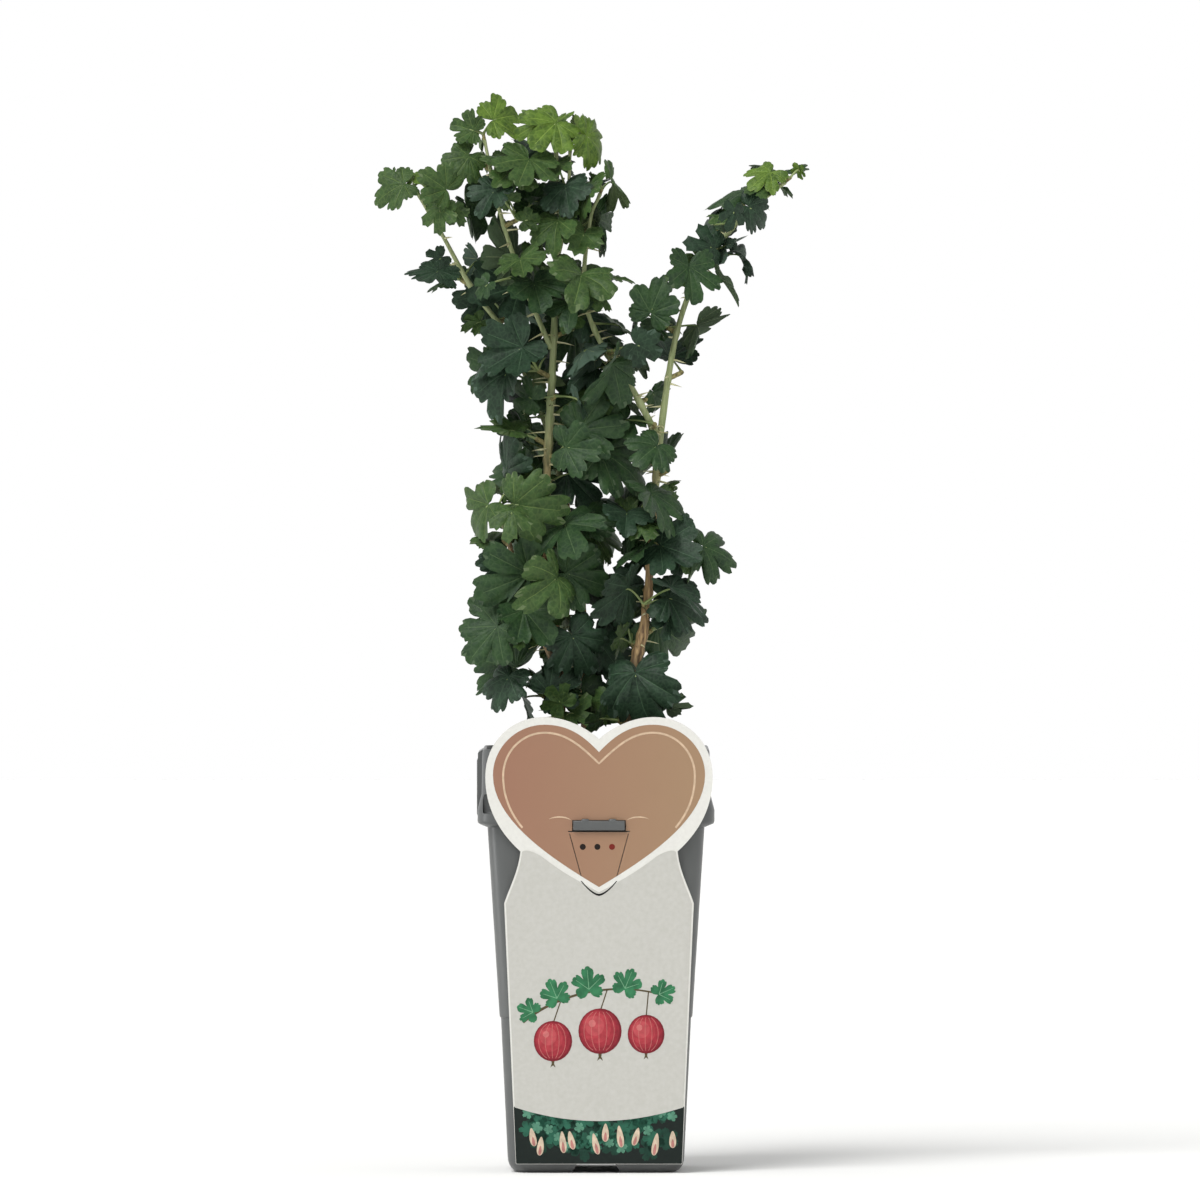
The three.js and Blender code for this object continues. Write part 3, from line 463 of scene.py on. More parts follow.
limbs = {name: Limb(name, *row) for name, row in LIMBS.items()}

# ---------------------------------------------------------------- growth of the leaves
# Short spurs leave the canes, and each carries a tuft of lobed leaves on thin stalks. The rule deals every
# leaf its place from a repeatable sequence, and a leaf that would touch wood or another leaf tries again.

# How a leaf grows. Lengths of spur, stalk and blade are in millimetres. A tuft's leaves aim over a spread of
# degrees, and each strays by up to its fan and rises above the level. The blade faces up, outward and to the
# light in these shares, with a stray share at random. Its midrib hangs by degrees below the level and turns
# by up to its twist. Fold, sag and cup bend the blade.
GROWN = {"spur": (3, 7), "spread": 200, "fan": 26, "rise": (0, 60), "stalk": (9, 23), "blade": (18, 30),
         "up": 0.5, "outward": 0.35, "light": -0.55, "stray": 0.75, "hang": (-10, 60), "twist": 40,
         "fold": (-0.05, 0.6), "sag": (0, 0.5), "cup": (0, 0.35)}
YOUNG = {**GROWN, "spur": (3, 3), "spread": 300, "rise": (10, 75), "stalk": (4, 12), "blade": (13, 21),
         "hang": (-50, 20), "stray": 0.6}
LATE = {**GROWN, "rise": (-15, 75), "stalk": (5, 17), "blade": (9, 17), "stray": 0.95, "hang": (-30, 60)}
LATE_YOUNG = {**LATE, "rise": (20, 85), "stalk": (3, 9), "blade": (7, 13)}
LATE_TWIG = {**LATE, "spur": (3, 6), "blade": (12, 20)}
KNEE_SHARE, NECK_DROP, NECK_PULL = 0.55, 20, 0.5  # where a stalk bends, and how it bends down
SPUR_RISE = 25
GOLDEN_TURN, TURN_STRAY = 137.5, 25  # degrees from one spur to the next

# Tufts at the limbs' tips: limb, azimuth, leaves, size.
TIPS = [("stem_main", 290, 6, 1), ("stem_right", -30, 3, 1.1), ("stem_back", 180, 3, 0.9),
        ("bough_left", 200, 3, 0.9), ("bough_top", 320, 4, 1), ("bough_low", 190, 3, 1.5),
        ("bough_middle", 20, 3, 1.15)]
# Runs of tufts along the limbs: limb, lowest and highest spur, tufts, first azimuth, leaves, size.
RUNS = [("stem_main", 234, 500, 14, 200, 5, 1), ("stem_right", 238, 348, 6, 340, 5, 1),
        ("stem_right", 374, 442, 4, 215, 3, 0.85), ("stem_right", 454, 488, 3, 120, 2, 0.78),
        ("stem_back", 250, 425, 6, 60, 5, 1), ("stem_back", 444, 480, 2, 150, 3, 0.75),
        ("bough_low", 268, 320, 2, 170, 4, 1.1), ("bough_left", 446, 502, 3, 190, 2, 0.78),
        ("bough_middle", 400, 470, 3, 200, 4, 0.9)]
# Runs of late twigs: limb, lowest and highest spur, twigs, first azimuth.
LATE_RUNS = [("bough_middle", 372, 436, 6, 260), ("stem_right", 318, 370, 4, 230),
             ("stem_main", 222, 230, 2, 300), ("stem_back", 222, 246, 3, 280),
             ("stem_right", 222, 232, 2, 250), ("bough_low", 286, 327, 4, 200),
             ("stem_main", 262, 344, 4, 190), ("stem_back", 300, 340, 3, 200),
             ("stem_right", 268, 312, 3, 10), ("stem_right", 466, 482, 2, 60),
             ("stem_main", 364, 386, 2, 175), ("stem_main", 492, 506, 2, 350)]
SEED = 3
TRIES = 60
LATE_LEAVES, LATE_TRIES = 3, 14
# A tuft above this height and further than the half from the middle gets fewer and smaller late leaves.
OUTER_TWIG = {"above": 425, "middle": -18, "half": 40, "leaves": 2, "size": 0.95}

# The space that leaves keep clear of blades, stalks, wood and spurs. Wood further from a leaf's base than its
# blade and this much more isn't measured.
CLEAR = {"blade": 2.3, "stalk": 1.9, "wood": 1.0, "spur": 2.2}
LATE_CLEAR = {"blade": 1.3, "stalk": 0.9, "wood": 0.5, "spur": 1.2}
FAR_WOOD = 30
LOWEST_BLADE = 217
BEHIND_CARD = {"top": 236, "y": -50}
# The crown's reach to its left and right: height and x.
LEFT_REACH = [(217, -58), (245, -72), (340, -77), (352, -56), (366, -70), (430, -66), (440, -94), (470, -94),
              (485, -111), (505, -108), (513, -74), (550, -74)]
RIGHT_REACH = [(217, 46), (260, 58), (305, 71), (330, 58), (352, 40), (400, 44), (410, 60), (470, 90),
               (505, 110), (514, 12), (550, 8)]
REACH_SLACK = 2
# Gaps through the crown: x, height and radius.
GAPS = [(37, 482, 17), (27, 456, 9), (14, 438, 5)]
# Stretches of cane with no blade in front: limb and heights. A blade is in front within this x and height.
BARE = [("stem_main", 350, 425), ("stem_right", 258, 300), ("stem_right", 372, 400), ("stem_right", 410, 430)]
BARE_SIDE, BARE_HEIGHT = 3, 2.5

# Half a blade's plain outline, as degrees from the midrib and reach, and the points that stand for a leaf.
OUTLINE = [(0, 1), (22, 0.7), (48, 0.86), (76, 0.56), (106, 0.6), (150, 0.22)]
BLADE_GRID = 0.1
STALK_SHARES, NECK_SHARES, SPUR_SHARES = (0.3, 0.48, 0.66, 0.84, 1), (0.3, 0.6, 0.9), (0.6, 0.8, 1)

sequence = [SEED]


def draw(low, high):
    """The next number of the sequence between low and high: the last state times 16807, modulo 2^31 - 1."""
    sequence[0] = sequence[0] * 16807 % 2147483647
    return low + (high - low) * (sequence[0] / 2147483647)


def heading(azimuth, rise):
    """Unit vector at an azimuth, and a rise above the level, both in degrees."""
    a, r = math.radians(azimuth), math.radians(rise)
    return np.array([math.cos(a) * math.cos(r), math.sin(a) * math.cos(r), math.sin(r)])


def blade_samples():
    """Points of the flat blade that stand for it when others keep clear: its rim, and a grid inside."""
    whole = [(-a, r) for a, r in OUTLINE[:0:-1]] + OUTLINE
    rim = [(0.0, 0.0)] + [(r * math.cos(math.radians(a)), r * math.sin(math.radians(a))) for a, r in whole]
    points = list(rim)
    for (u, v), (u2, v2) in zip(rim, rim[1:] + rim[:1]):
        points += [(u + (u2 - u) * t, v + (v2 - v) * t) for t in (1 / 3, 2 / 3)]
    degrees, reach = np.array(OUTLINE, float).T
    for i in range(-5, 10):
        for j in range(-9, 10):
            u, v = i * BLADE_GRID, j * BLADE_GRID
            limit = np.interp(abs(math.degrees(math.atan2(v, u))), degrees, reach, right=0)
            if math.hypot(u, v) < limit - BLADE_GRID / 2:
                points.append((u, v))
    return np.array(points)


SAMPLES = blade_samples()


def box_of(cloud):
    """Lowest and highest corner of a cloud of points, as one row of six numbers."""
    return (*cloud.min(0).tolist(), *cloud.max(0).tolist())


def boxes_apart(a, b, gap):
    """Whether two boxes lie further apart than the gap along some axis, so what they hold does too."""
    return (a[0] > b[3] + gap or b[0] > a[3] + gap or a[1] > b[4] + gap or b[1] > a[4] + gap
            or a[2] > b[5] + gap or b[2] > a[5] + gap)


class Leaf:
    """One leaf: where its stalk starts, bends and meets the blade, and how the blade lies and folds."""

    def __init__(self, root, azimuth, rule, size):
        self.root = root
        swing = azimuth + draw(-rule["fan"], rule["fan"])
        rise = draw(*rule["rise"])
        stalk = draw(*rule["stalk"])
        self.size = draw(*rule["blade"]) * size
        out = heading(swing, rise)
        neck = unit(out + heading(swing, -NECK_DROP) * NECK_PULL)
        self.knee = root + out * (stalk * KNEE_SHARE)
        self.base = self.knee + neck * (stalk * (1 - KNEE_SHARE))
        stray = np.array([draw(-1, 1), draw(-1, 1), draw(-1, 1)])
        self.face = unit(np.array([0, rule["light"], rule["up"]]) + heading(swing, 0) * rule["outward"]
                         + stray * rule["stray"])
        turned = swing + draw(-rule["twist"], rule["twist"])
        down = heading(turned, -draw(*rule["hang"]))
        self.rib = unit(down - self.face * (down @ self.face))
        self.side = np.cross(self.face, self.rib)
        self.fold, self.sag, self.cup = draw(*rule["fold"]), draw(*rule["sag"]), draw(*rule["cup"])
        self.blade = self.place(SAMPLES)
        self.stalk = np.array([root + (self.knee - root) * t for t in STALK_SHARES]
                              + [self.knee + (self.base - self.knee) * t for t in NECK_SHARES])
        self.box = box_of(np.concatenate([self.blade, self.stalk]))

    def place(self, uv):
        """Points of the blade: folded up along the midrib, sagging to the tip, its sides curled down."""
        u, v = uv.T
        w = self.fold * np.abs(v) - self.sag * u * u - self.cup * v * v
        bent = np.outer(u, self.rib) + np.outer(v, self.side) + np.outer(w, self.face)
        return self.base + self.size * bent


def apart(cloud, others):
    """The shortest distance between two clouds of points."""
    return math.sqrt(((cloud[:, None] - others[None]) ** 2).sum(2).min())


def off_wood(cloud, beads):
    """The shortest distance from a cloud of points to the wood's surface."""
    return (np.sqrt(((cloud[:, None] - beads[None, :, :3]) ** 2).sum(2)) - beads[None, :, 3]).min()


def beads_between(limb, low, high):
    """The beads of a limb that lie between two heights."""
    return limb.beads[(limb.beads[:, 2] > low) & (limb.beads[:, 2] < high)]


bare_beads = np.concatenate([beads_between(limbs[name], low, high) for name, low, high in BARE])


def leaves_space(blade):
    """Whether a blade passes the crown's reach, fills one of its gaps or hangs in front of a bare stretch."""
    x, y, z = blade.T
    out = (z < LOWEST_BLADE) | ((z < BEHIND_CARD["top"]) & (y < BEHIND_CARD["y"]))
    out |= x < np.interp(z, *zip(*LEFT_REACH)) - REACH_SLACK
    out |= x > np.interp(z, *zip(*RIGHT_REACH)) + REACH_SLACK
    for gap_x, gap_z, radius in GAPS:
        out |= (x - gap_x) ** 2 + (z - gap_z) ** 2 < radius ** 2
    away = np.abs(blade[:, None] - bare_beads[None, :, :3])
    hides = (away[..., 0] < BARE_SIDE) & (away[..., 2] < BARE_HEIGHT) & (y[:, None] < bare_beads[None, :, 1])
    return bool(out.any() or hides.any())


def is_clear(leaf, tuft, tufts, beads, clear):
    """Whether the leaf stays in its space and keeps clear of wood, blades, stalks and spurs."""
    if leaves_space(leaf.blade):
        return False
    near = beads[np.sqrt(((beads[:, :3] - leaf.base) ** 2).sum(1)) < leaf.size + FAR_WOOD]
    if len(near) and min(off_wood(leaf.blade, near), off_wood(leaf.stalk, near)) < clear["wood"]:
        return False
    for other in tufts:
        own = other is tuft
        if not boxes_apart(leaf.box, other["box"], clear["stalk"]):
            if apart(leaf.blade, other["spur"]) < clear["stalk"]:
                return False
            if not own and apart(leaf.stalk, other["spur"]) < clear["stalk"]:
                return False
        for placed in other["leaves"]:
            if boxes_apart(leaf.box, placed.box, clear["blade"]):
                continue
            if apart(leaf.blade, placed.blade) < clear["blade"]:
                return False
            if min(apart(leaf.blade, placed.stalk), apart(leaf.stalk, placed.blade)) < clear["stalk"]:
                return False
            if not own and apart(leaf.stalk, placed.stalk) < clear["stalk"]:
                return False
    return True


def spur_meets_leaf(spur, spur_box, tufts, gap):
    """Whether a spur comes closer than the gap to a leaf that is placed already."""
    placed = [leaf for tuft in tufts for leaf in tuft["leaves"] if not boxes_apart(spur_box, leaf.box, gap)]
    return any(min(apart(spur, leaf.blade), apart(spur, leaf.stalk)) < gap for leaf in placed)


def grow_tuft(limb, s, azimuth, count, size, rule, tufts, beads, clear=CLEAR, tries=TRIES):
    """A spur and its leaves: each leaf draws a few places and takes the first that is clear."""
    foot, tangent = limb.at(s)
    young = rule is YOUNG
    if young:
        tip = foot + tangent * rule["spur"][0]
    else:
        tip = foot + heading(azimuth, SPUR_RISE) * (limb.radius(s) + draw(*rule["spur"]))
    spur = np.array([foot + (tip - foot) * t for t in SPUR_SHARES])
    others = np.concatenate([other.beads for other in limbs.values() if other is not limb])
    if off_wood(spur, others) < clear["spur"]:
        return
    spur_box = box_of(spur)
    if spur_meets_leaf(spur, spur_box, tufts, clear["stalk"]):
        return
    tuft = {"limb": limb, "s": s, "azimuth": azimuth, "foot": foot, "tip": tip, "young": young, "spur": spur,
            "box": spur_box, "leaves": [], "grown": 0}
    for i in range(count):
        aim = azimuth + (i / max(count - 1, 1) - 0.5) * rule["spread"]
        for _ in range(tries):
            leaf = Leaf(tip, aim, rule, size)
            if is_clear(leaf, tuft, [*tufts, tuft], beads, clear):
                tuft["leaves"].append(leaf)
                break
    if tuft["leaves"]:
        tufts.append(tuft)


def add_small_leaves(tuft, tufts, beads):
    """Late small leaves between the grown ones of a tuft, which keep less space; few on the outer twigs."""
    rule = LATE_YOUNG if tuft["young"] else LATE
    x, _, z = tuft["tip"]
    outer = z > OUTER_TWIG["above"] and abs(x - OUTER_TWIG["middle"]) > OUTER_TWIG["half"]
    count, size = (OUTER_TWIG["leaves"], OUTER_TWIG["size"]) if outer else (LATE_LEAVES, 1)
    for _ in range(count):
        for _ in range(LATE_TRIES):
            leaf = Leaf(tuft["tip"], draw(0, 360), rule, size)
            if is_clear(leaf, tuft, tufts, beads, LATE_CLEAR):
                tuft["leaves"].append(leaf)
                break


def grow_crown():
    """The tufts at the limbs' tips, the runs of tufts along them, and then the late leaves and twigs."""
    beads = np.concatenate([limb.beads for limb in limbs.values()])
    tufts = []

    def grow_run(name, low, high, number, azimuth, *how):
        """Tufts at even lengths between two heights, each turned on from the one before."""
        first, last = limbs[name].at_height(low), limbs[name].at_height(high)
        for i in range(number):
            s = first + (last - first) * i / (number - 1)
            turned = azimuth + i * GOLDEN_TURN + draw(-TURN_STRAY, TURN_STRAY)
            grow_tuft(limbs[name], s, turned, *how)

    for name, azimuth, count, size in TIPS:
        grow_tuft(limbs[name], limbs[name].length, azimuth, count, size, YOUNG, tufts, beads)
    for *run, count, size in RUNS:
        grow_run(*run, count, size, GROWN, tufts, beads)
    for tuft in tufts:
        tuft["grown"] = len(tuft["leaves"])
    for tuft in tufts:
        add_small_leaves(tuft, tufts, beads)
    for run in LATE_RUNS:
        grow_run(*run, LATE_LEAVES, 1, LATE_TWIG, tufts, beads, LATE_CLEAR, LATE_TRIES)
    return tufts


tufts = grow_crown()
for number, tuft in enumerate(tufts, 1):
    kind = "tip" if tuft["young"] else "leaves"
    tuft["node"] = f"{kind}_{tuft['limb'].name.split('_')[1]}_{number:02d}"
    tuft["limb"].buds.append(tuft["s"])

# ---------------------------------------------------------------- bark
# Each limb's skin. The papery bark of old wood splits into long grey-brown strips, and new wood is smooth.
# The limb swells at its buds, and a cane widens where it leaves the soil.

CANE_SIDES, RING_EVERY, FEWEST_RINGS = 22, 1.3, 12
FINE_STEPS = 60  # on each span of the middle line
INSIDE_PARENT = 0.55  # a bough's skin starts this share of its cane's radius out from the cane's middle
RING_SEAM = (0.12, 1.0, 0.05)  # the rings' first column stays square to this
BUD_SWELLING, BUD_REACH = 0.26, 2.2
FOOT_SWELLING, FOOT_REACH = 0.25, 5.0
# The ridges come from waves on a drum, squeezed lengthwise so that they run along the limb. They fade over
# this height, up to their end, to the least that new wood keeps.
DRUM, SQUEEZE = 9.0, 0.16
RIDGES = [(7.0, 30, 20, 0.045), (3.0, 30, 40, 0.03)]  # length, waves, seed, share of the radius
RIDGES_END, RIDGES_FADE, LEAST_RIDGES = 380, 90, 0.12
UNEVEN = [(30.0, 12, 60, 0.05)]  # the same for slow changes of thickness


def limb_skin(limb):
    """Rings round the limb's line: its taper, times ridges and slow changes, times a swelling at each bud."""
    fine = spline(limb.path, FINE_STEPS)
    along = length_along(fine)
    s = np.linspace(0, along[-1], max(int(along[-1] / RING_EVERY), FEWEST_RINGS))
    line = np.stack([np.interp(s, along, fine[:, k]) for k in range(3)], 1)
    if limb.parent:
        keep = s > limbs[limb.parent].radius(0) * INSIDE_PARENT
        s, line = s[keep], line[keep]
    tangent = unit(np.gradient(line, axis=0))
    across = unit(np.cross(tangent, RING_SEAM))
    third = np.cross(tangent, across)
    angle = np.linspace(0, TURN, CANE_SIDES, endpoint=False)
    cosine, sine = np.cos(angle), np.sin(angle)
    radius = (limb.thick + (limb.thin - limb.thick) * s / along[-1])[:, None] / 2
    for bud in limb.buds:
        radius = radius * (1 + BUD_SWELLING * np.exp(-((s - bud) / BUD_REACH) ** 2))[:, None]
    around = np.broadcast_to(np.stack([cosine, sine], 1) * DRUM, (len(s), CANE_SIDES, 2))
    lengthwise = np.broadcast_to(s[:, None, None] * SQUEEZE, (len(s), CANE_SIDES, 1))
    field = np.concatenate([around, lengthwise], -1)
    old = np.clip((RIDGES_END - line[:, 2]) / RIDGES_FADE, LEAST_RIDGES, 1)[:, None]
    number = sorted(limbs).index(limb.name)
    radius = radius * (1 + rough(field, RIDGES, number) * old + rough(line, UNEVEN, number)[:, None])
    if not limb.parent:
        radius = radius * (1 + FOOT_SWELLING * np.exp(-s / FOOT_REACH))[:, None]
    out = cosine[None, :, None] * across[:, None] + sine[None, :, None] * third[:, None]
    return skin((line[:, None] + radius[..., None] * out)[None])


# Gooseberry bark. Old wood is straw-brown with dark stripes lengthwise and greyer patches, dull as paper.
# New wood is yellow-green, so a cane turns from brown to green on its way up, in patches rather than a line.
NEW_WOOD_FROM, NEW_WOOD_TO, NEW_WOOD_DRIFT = 362, 412, 90
bark, tree, shader = finish("gooseberry_bark", "9b8059", 0.72)
height = put(tree, "SeparateXYZ", {0: put(tree, "TexCoord").outputs["Object"]}).outputs["Z"]
stripes = grain(tree, 1.5, (1, 1, 0.09), 3.0)
patches = grain(tree, 11.0, (1, 1, 0.5), 3.0)
striped = blend(tree, stripes, linear("5a452e"), linear("b29468"), 0.36, 0.6)
old_wood = blend(tree, patches, striped, linear("6f6350"), 0.45, 0.75)
new_wood = blend(tree, stripes, linear("788556"), linear("9ea679"), 0.3, 0.7)
drift = put(tree, "Math", {0: patches, 1: NEW_WOOD_DRIFT * MM, 2: height}, operation="MULTIPLY_ADD")
paint(tree, shader, drift.outputs[0], old_wood, new_wood, NEW_WOOD_FROM * MM, NEW_WOOD_TO * MM)
emboss(tree, shader, stripes, 0.3, 0.8)
for limb in limbs.values():
    cane = piece(limb.name + "_bark", limb_skin(limb), bark, sharp=75)
    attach(cane, "root")
    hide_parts(limb.name)

# ---------------------------------------------------------------- spurs and thorns
# Short woody spurs, ringed by the scars of old leaves, carry the tufts. Stiff thorns stand below the buds and
# along the canes, one to three together.

SPUR_ROWS, SPUR_SIDES = 14, 9
SPUR_RADIUS, TIP_RADIUS = 1.15, 0.8  # on the limbs' sides, and at their tips
SPUR_RUN_ON = 0.9  # past the place that the leaves' stalks start from
SCARS, SCAR_RISE = 4, 0.12  # rings on a spur, and their share of its radius
SPUR_END, SPUR_END_SHARE, SPUR_END_FALL = 0.85, 0.15, 0.35  # where a spur narrows, over what, and by what


def tubes(lines, radii, sides, reference):
    """Rings round many lines at once. reference[line] sets where each line's first column lies."""
    tangent = unit(np.gradient(lines, axis=1))
    across = unit(reference[:, None] - tangent * (reference[:, None] * tangent).sum(-1, keepdims=True))
    third = np.cross(tangent, across)
    angle = np.linspace(0, TURN, sides, endpoint=False)[:, None]
    offset = np.cos(angle) * across[:, :, None] + np.sin(angle) * third[:, :, None]
    return lines[:, :, None] + radii[:, :, None, None] * offset


# Spur bark: olive-brown and dull, darker in its rings, a step between the cane's brown and the leaves' green.
spur_bark, tree, shader = finish("spur_bark", "7d774a", 0.8)
paint(tree, shader, grain(tree, 1.4, detail=3.0), linear("5a5433"), linear("97905c"))
emboss(tree, shader, grain(tree, 0.7), 0.25)

feet, tips = (np.array([tuft[end] for tuft in tufts]) for end in ("foot", "tip"))
ways = unit(tips - feet)
share = np.linspace(0, 1, SPUR_ROWS)
spur_lines = feet[:, None] * (1 - share[:, None]) + (tips + SPUR_RUN_ON * ways)[:, None] * share[:, None]
scarred = 1 + SCAR_RISE * np.abs(np.sin(share * math.pi * SCARS))
scarred -= SPUR_END_FALL * np.clip(share - SPUR_END, 0, 1) / SPUR_END_SHARE
spur_radii = np.array([TIP_RADIUS if tuft["young"] else SPUR_RADIUS for tuft in tufts])[:, None] * scarred
sideways = np.cross(ways, (0.3, 0.9, 0.35))
spurs = piece("spurs", skin(tubes(spur_lines, spur_radii, SPUR_SIDES, sideways)), spur_bark, sharp=60)
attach(spurs, "root")

THORN_ROWS, THORN_SIDES = 6, 6
THORN_LENGTH, SIDE_THORN = (7.0, 11.0), 0.8  # a side thorn's share of the middle one's length
THORN_RADIUS, THORN_TAPER, THORN_POINT = 0.55, 0.8, 0.04
THORN_DROOP = 0.09
THORN_STRAY, THORN_RISE = (-9, 9), (-28, 12)
PRONGS = ((0,), (-24, 26), (-52, 0, 50))  # degrees to the sides, for one, two and three thorns
SQUARE_TO_CANE, THORN_ROOT = 0.8, 0.7  # shares: of the lean along the cane taken away, and of its radius
BELOW_BUD = 2.2
THORNS_FROM, THORNS_TO_TIP, THORNS_EVERY, THORNS_SHIFT = 14, 20, 12.0, (-4, 4)  # lengths along a limb
dice = np.random.default_rng(5)
thorn_rows = []


def add_thorns(limb, s, azimuth, prongs):
    """One to three thorns at a place on a limb, spread to both sides. Most lean a little down."""
    middle, tangent = limb.at(s)
    for swing in PRONGS[prongs - 1]:
        way = heading(azimuth + swing + dice.uniform(*THORN_STRAY), dice.uniform(*THORN_RISE))
        way = unit(way - tangent * (way @ tangent) * SQUARE_TO_CANE)
        long = dice.uniform(*THORN_LENGTH) * (SIDE_THORN if swing else 1.0)
        thorn_rows.append((middle + way * limb.radius(s) * THORN_ROOT, way, long))


# Thorn wood: hard, smooth and straw-coloured, so thorns show as pale ticks against bark and leaves.
thorn_wood, tree, shader = finish("straw_thorns", "b3aa78", 0.55)
paint(tree, shader, grain(tree, 9.0), linear("a8a678"), linear("d3d1a8"))

for tuft in tufts:
    if not tuft["young"]:
        add_thorns(tuft["limb"], max(tuft["s"] - BELOW_BUD, 1), tuft["azimuth"], int(dice.integers(1, 4)))
for limb in limbs.values():
    for s in np.arange(THORNS_FROM, limb.length - THORNS_TO_TIP, THORNS_EVERY):
        add_thorns(limb, s + dice.uniform(*THORNS_SHIFT), dice.uniform(0, 360), int(dice.integers(1, 3)))
thorn_roots, thorn_ways, thorn_longs = (np.array(column) for column in zip(*thorn_rows))
share = np.linspace(0, 1, THORN_ROWS)
thorn_lines = (thorn_roots[:, None] + thorn_ways[:, None] * (thorn_longs[:, None] * share)[..., None]
               + np.array([0, 0, -THORN_DROOP]) * (thorn_longs[:, None] * share ** 2)[..., None])
thorn_radii = np.broadcast_to(THORN_RADIUS * (1 - share) ** THORN_TAPER + THORN_POINT, thorn_lines.shape[:2])
sideways = np.cross(thorn_ways, (0.2, 0.3, 0.93))
thorns = piece("thorns", skin(tubes(thorn_lines, thorn_radii, THORN_SIDES, sideways)), thorn_wood, sharp=80)
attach(thorns, "root")

# ---------------------------------------------------------------- leaf stalks
# Thin round stalks, each thicker where it leaves the spur. A stalk bends at its knee and runs in under the
# blade's base.

STALK_ROWS, STALK_SIDES = 12, 7
STALK_RADIUS = 0.5
STALK_FOOT, STALK_FOOT_FADE, STALK_TIP = 0.42, 9, 0.18  # more at its foot, how fast, and less at its tip
RUN_IN, RUN_IN_BELOW = 2.2, 0.25  # how far a stalk runs in under its blade, and how deep it ends there
BASE_BELOW = 0.2  # how deep it passes below the blade's base
PAST_KNEE = 0.25  # its curve bends towards this share of the way from knee to base

# Leaf stalks: sappy and half-glossy, paler than the blades, so they draw light lines between the leaves.
green_stalk, tree, shader = finish("green_leaf_stalk", "6f8048", 0.5)
paint(tree, shader, grain(tree, 12.0), linear("566a38"), linear("8b9a62"))

leaves = [leaf for tuft in tufts for leaf in tuft["leaves"]]
size, fold, sag, cup, root, knee, base, rib, side, face = (
    np.array([getattr(leaf, key) for leaf in leaves])
    for key in ("size", "fold", "sag", "cup", "root", "knee", "base", "rib", "side", "face"))
t = np.linspace(0, 1, STALK_ROWS)[None, :, None]
pull = (knee + (base - knee) * PAST_KNEE)[:, None]
near_base = (base - face * BASE_BELOW)[:, None]
end = (base + rib * RUN_IN - face * RUN_IN_BELOW)[:, None]
stalk_lines = ((1 - t) ** 3 * root[:, None] + 3 * (1 - t) ** 2 * t * pull + 3 * (1 - t) * t ** 2 * near_base
               + t ** 3 * end)
share = t[..., 0]
stalk_radii = STALK_RADIUS + STALK_FOOT * np.exp(-share * STALK_FOOT_FADE) - STALK_TIP * share ** 4
stalk_radii = np.broadcast_to(stalk_radii, stalk_lines.shape[:2])
stalks = piece("leaf_stalks", skin(tubes(stalk_lines, stalk_radii, STALK_SIDES, side)), green_stalk, sharp=80)
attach(stalks, "root")

# ---------------------------------------------------------------- leaf blades
# Gooseberry leaves: three to five rounded lobes with blunt teeth, pleated along the side veins. They are
# dark green above, grey-green below, and lime-green while young.

LOBES = [(0.0, 1.0), (50.0, 0.88), (100.0, 0.62)]  # degrees from the midrib, and length in blade lengths
LOBE_HALF, BASAL_HALF = 27.0, 70.0
LOBE_DEPTH, BASAL_DEPTH, LEAST_REACH = (0.18, 0.46), 1.1, 0.1
TOOTH = 50 / 3  # degrees from one tooth to the next: three to a lobe
TEETH_TO_BASE = 10
TOOTH_DEPTH, TOOTH_LENGTH, NOTCH_DEPTH = 0.09, (0.95, 1.04), (0.5, 1.4)
VEINS = np.array([-100.0, -50.0, 0.0, 50.0, 100.0])
BLADE_HALF_THICK = 0.17


class BladeGrid:
    """How finely a blade is drawn: its rows out from the stalk, and its columns round it.

    The profile is how far the rim falls in on the way from one tooth's top to the next.
    """

    def __init__(self, rows, profile):
        steps = len(profile)
        out = np.arange(-TEETH_TO_BASE * steps, TEETH_TO_BASE * steps + 1)
        self.rows, self.step = np.array(rows), TOOTH / steps
        self.columns = out * self.step
        self.tooth_of = (out + TEETH_TO_BASE * steps + steps // 2) // steps
        self.fall_in = np.array(profile)[out % steps]
        from_vein = np.abs(self.columns[:, None] - VEINS[None])
        self.nearest = VEINS[from_vein.argmin(1)]
        self.is_vein_edge = from_vein.min(1) < self.step * 1.1


GROWN_GRID = BladeGrid([0.28, 0.58, 0.84, 1.0], [0.0, 0.14, 1.0, 0.14])
SMALL_GRID = BladeGrid([0.55, 1.0], [0.0, 1.0])


def lobed_reach(grid, depth):
    """Reach of the outline at each column, one row for each leaf: the furthest of its lobes.

    A lobe falls off from its length as (1 - x^3)^depth, with x the angle from its middle over its half width.
    """
    angle = np.abs(grid.columns)[None, :]
    reach = np.full((len(depth), len(grid.columns)), LEAST_REACH)
    for middle, length in LOBES:
        outer = (middle == LOBES[-1][0]) & (angle > middle)
        x = np.abs(angle - middle) / np.where(outer, BASAL_HALF, LOBE_HALF)
        fall = np.clip(1 - x ** 3, 0, 1) ** np.where(outer, BASAL_DEPTH, depth[:, None])
        reach = np.maximum(reach, length * fall)
    return reach


def toothed(grid, reach, dice):
    """The rim: the outline's reach, with rounded teeth of uneven length between sharp notches."""
    teeth = dice.uniform(*TOOTH_LENGTH, (len(reach), grid.tooth_of[-1] + 1))[:, grid.tooth_of]
    notches = dice.uniform(*NOTCH_DEPTH, reach.shape) * TOOTH_DEPTH
    return reach * (teeth * (1 - grid.fall_in) + (1 - notches) * grid.fall_in)


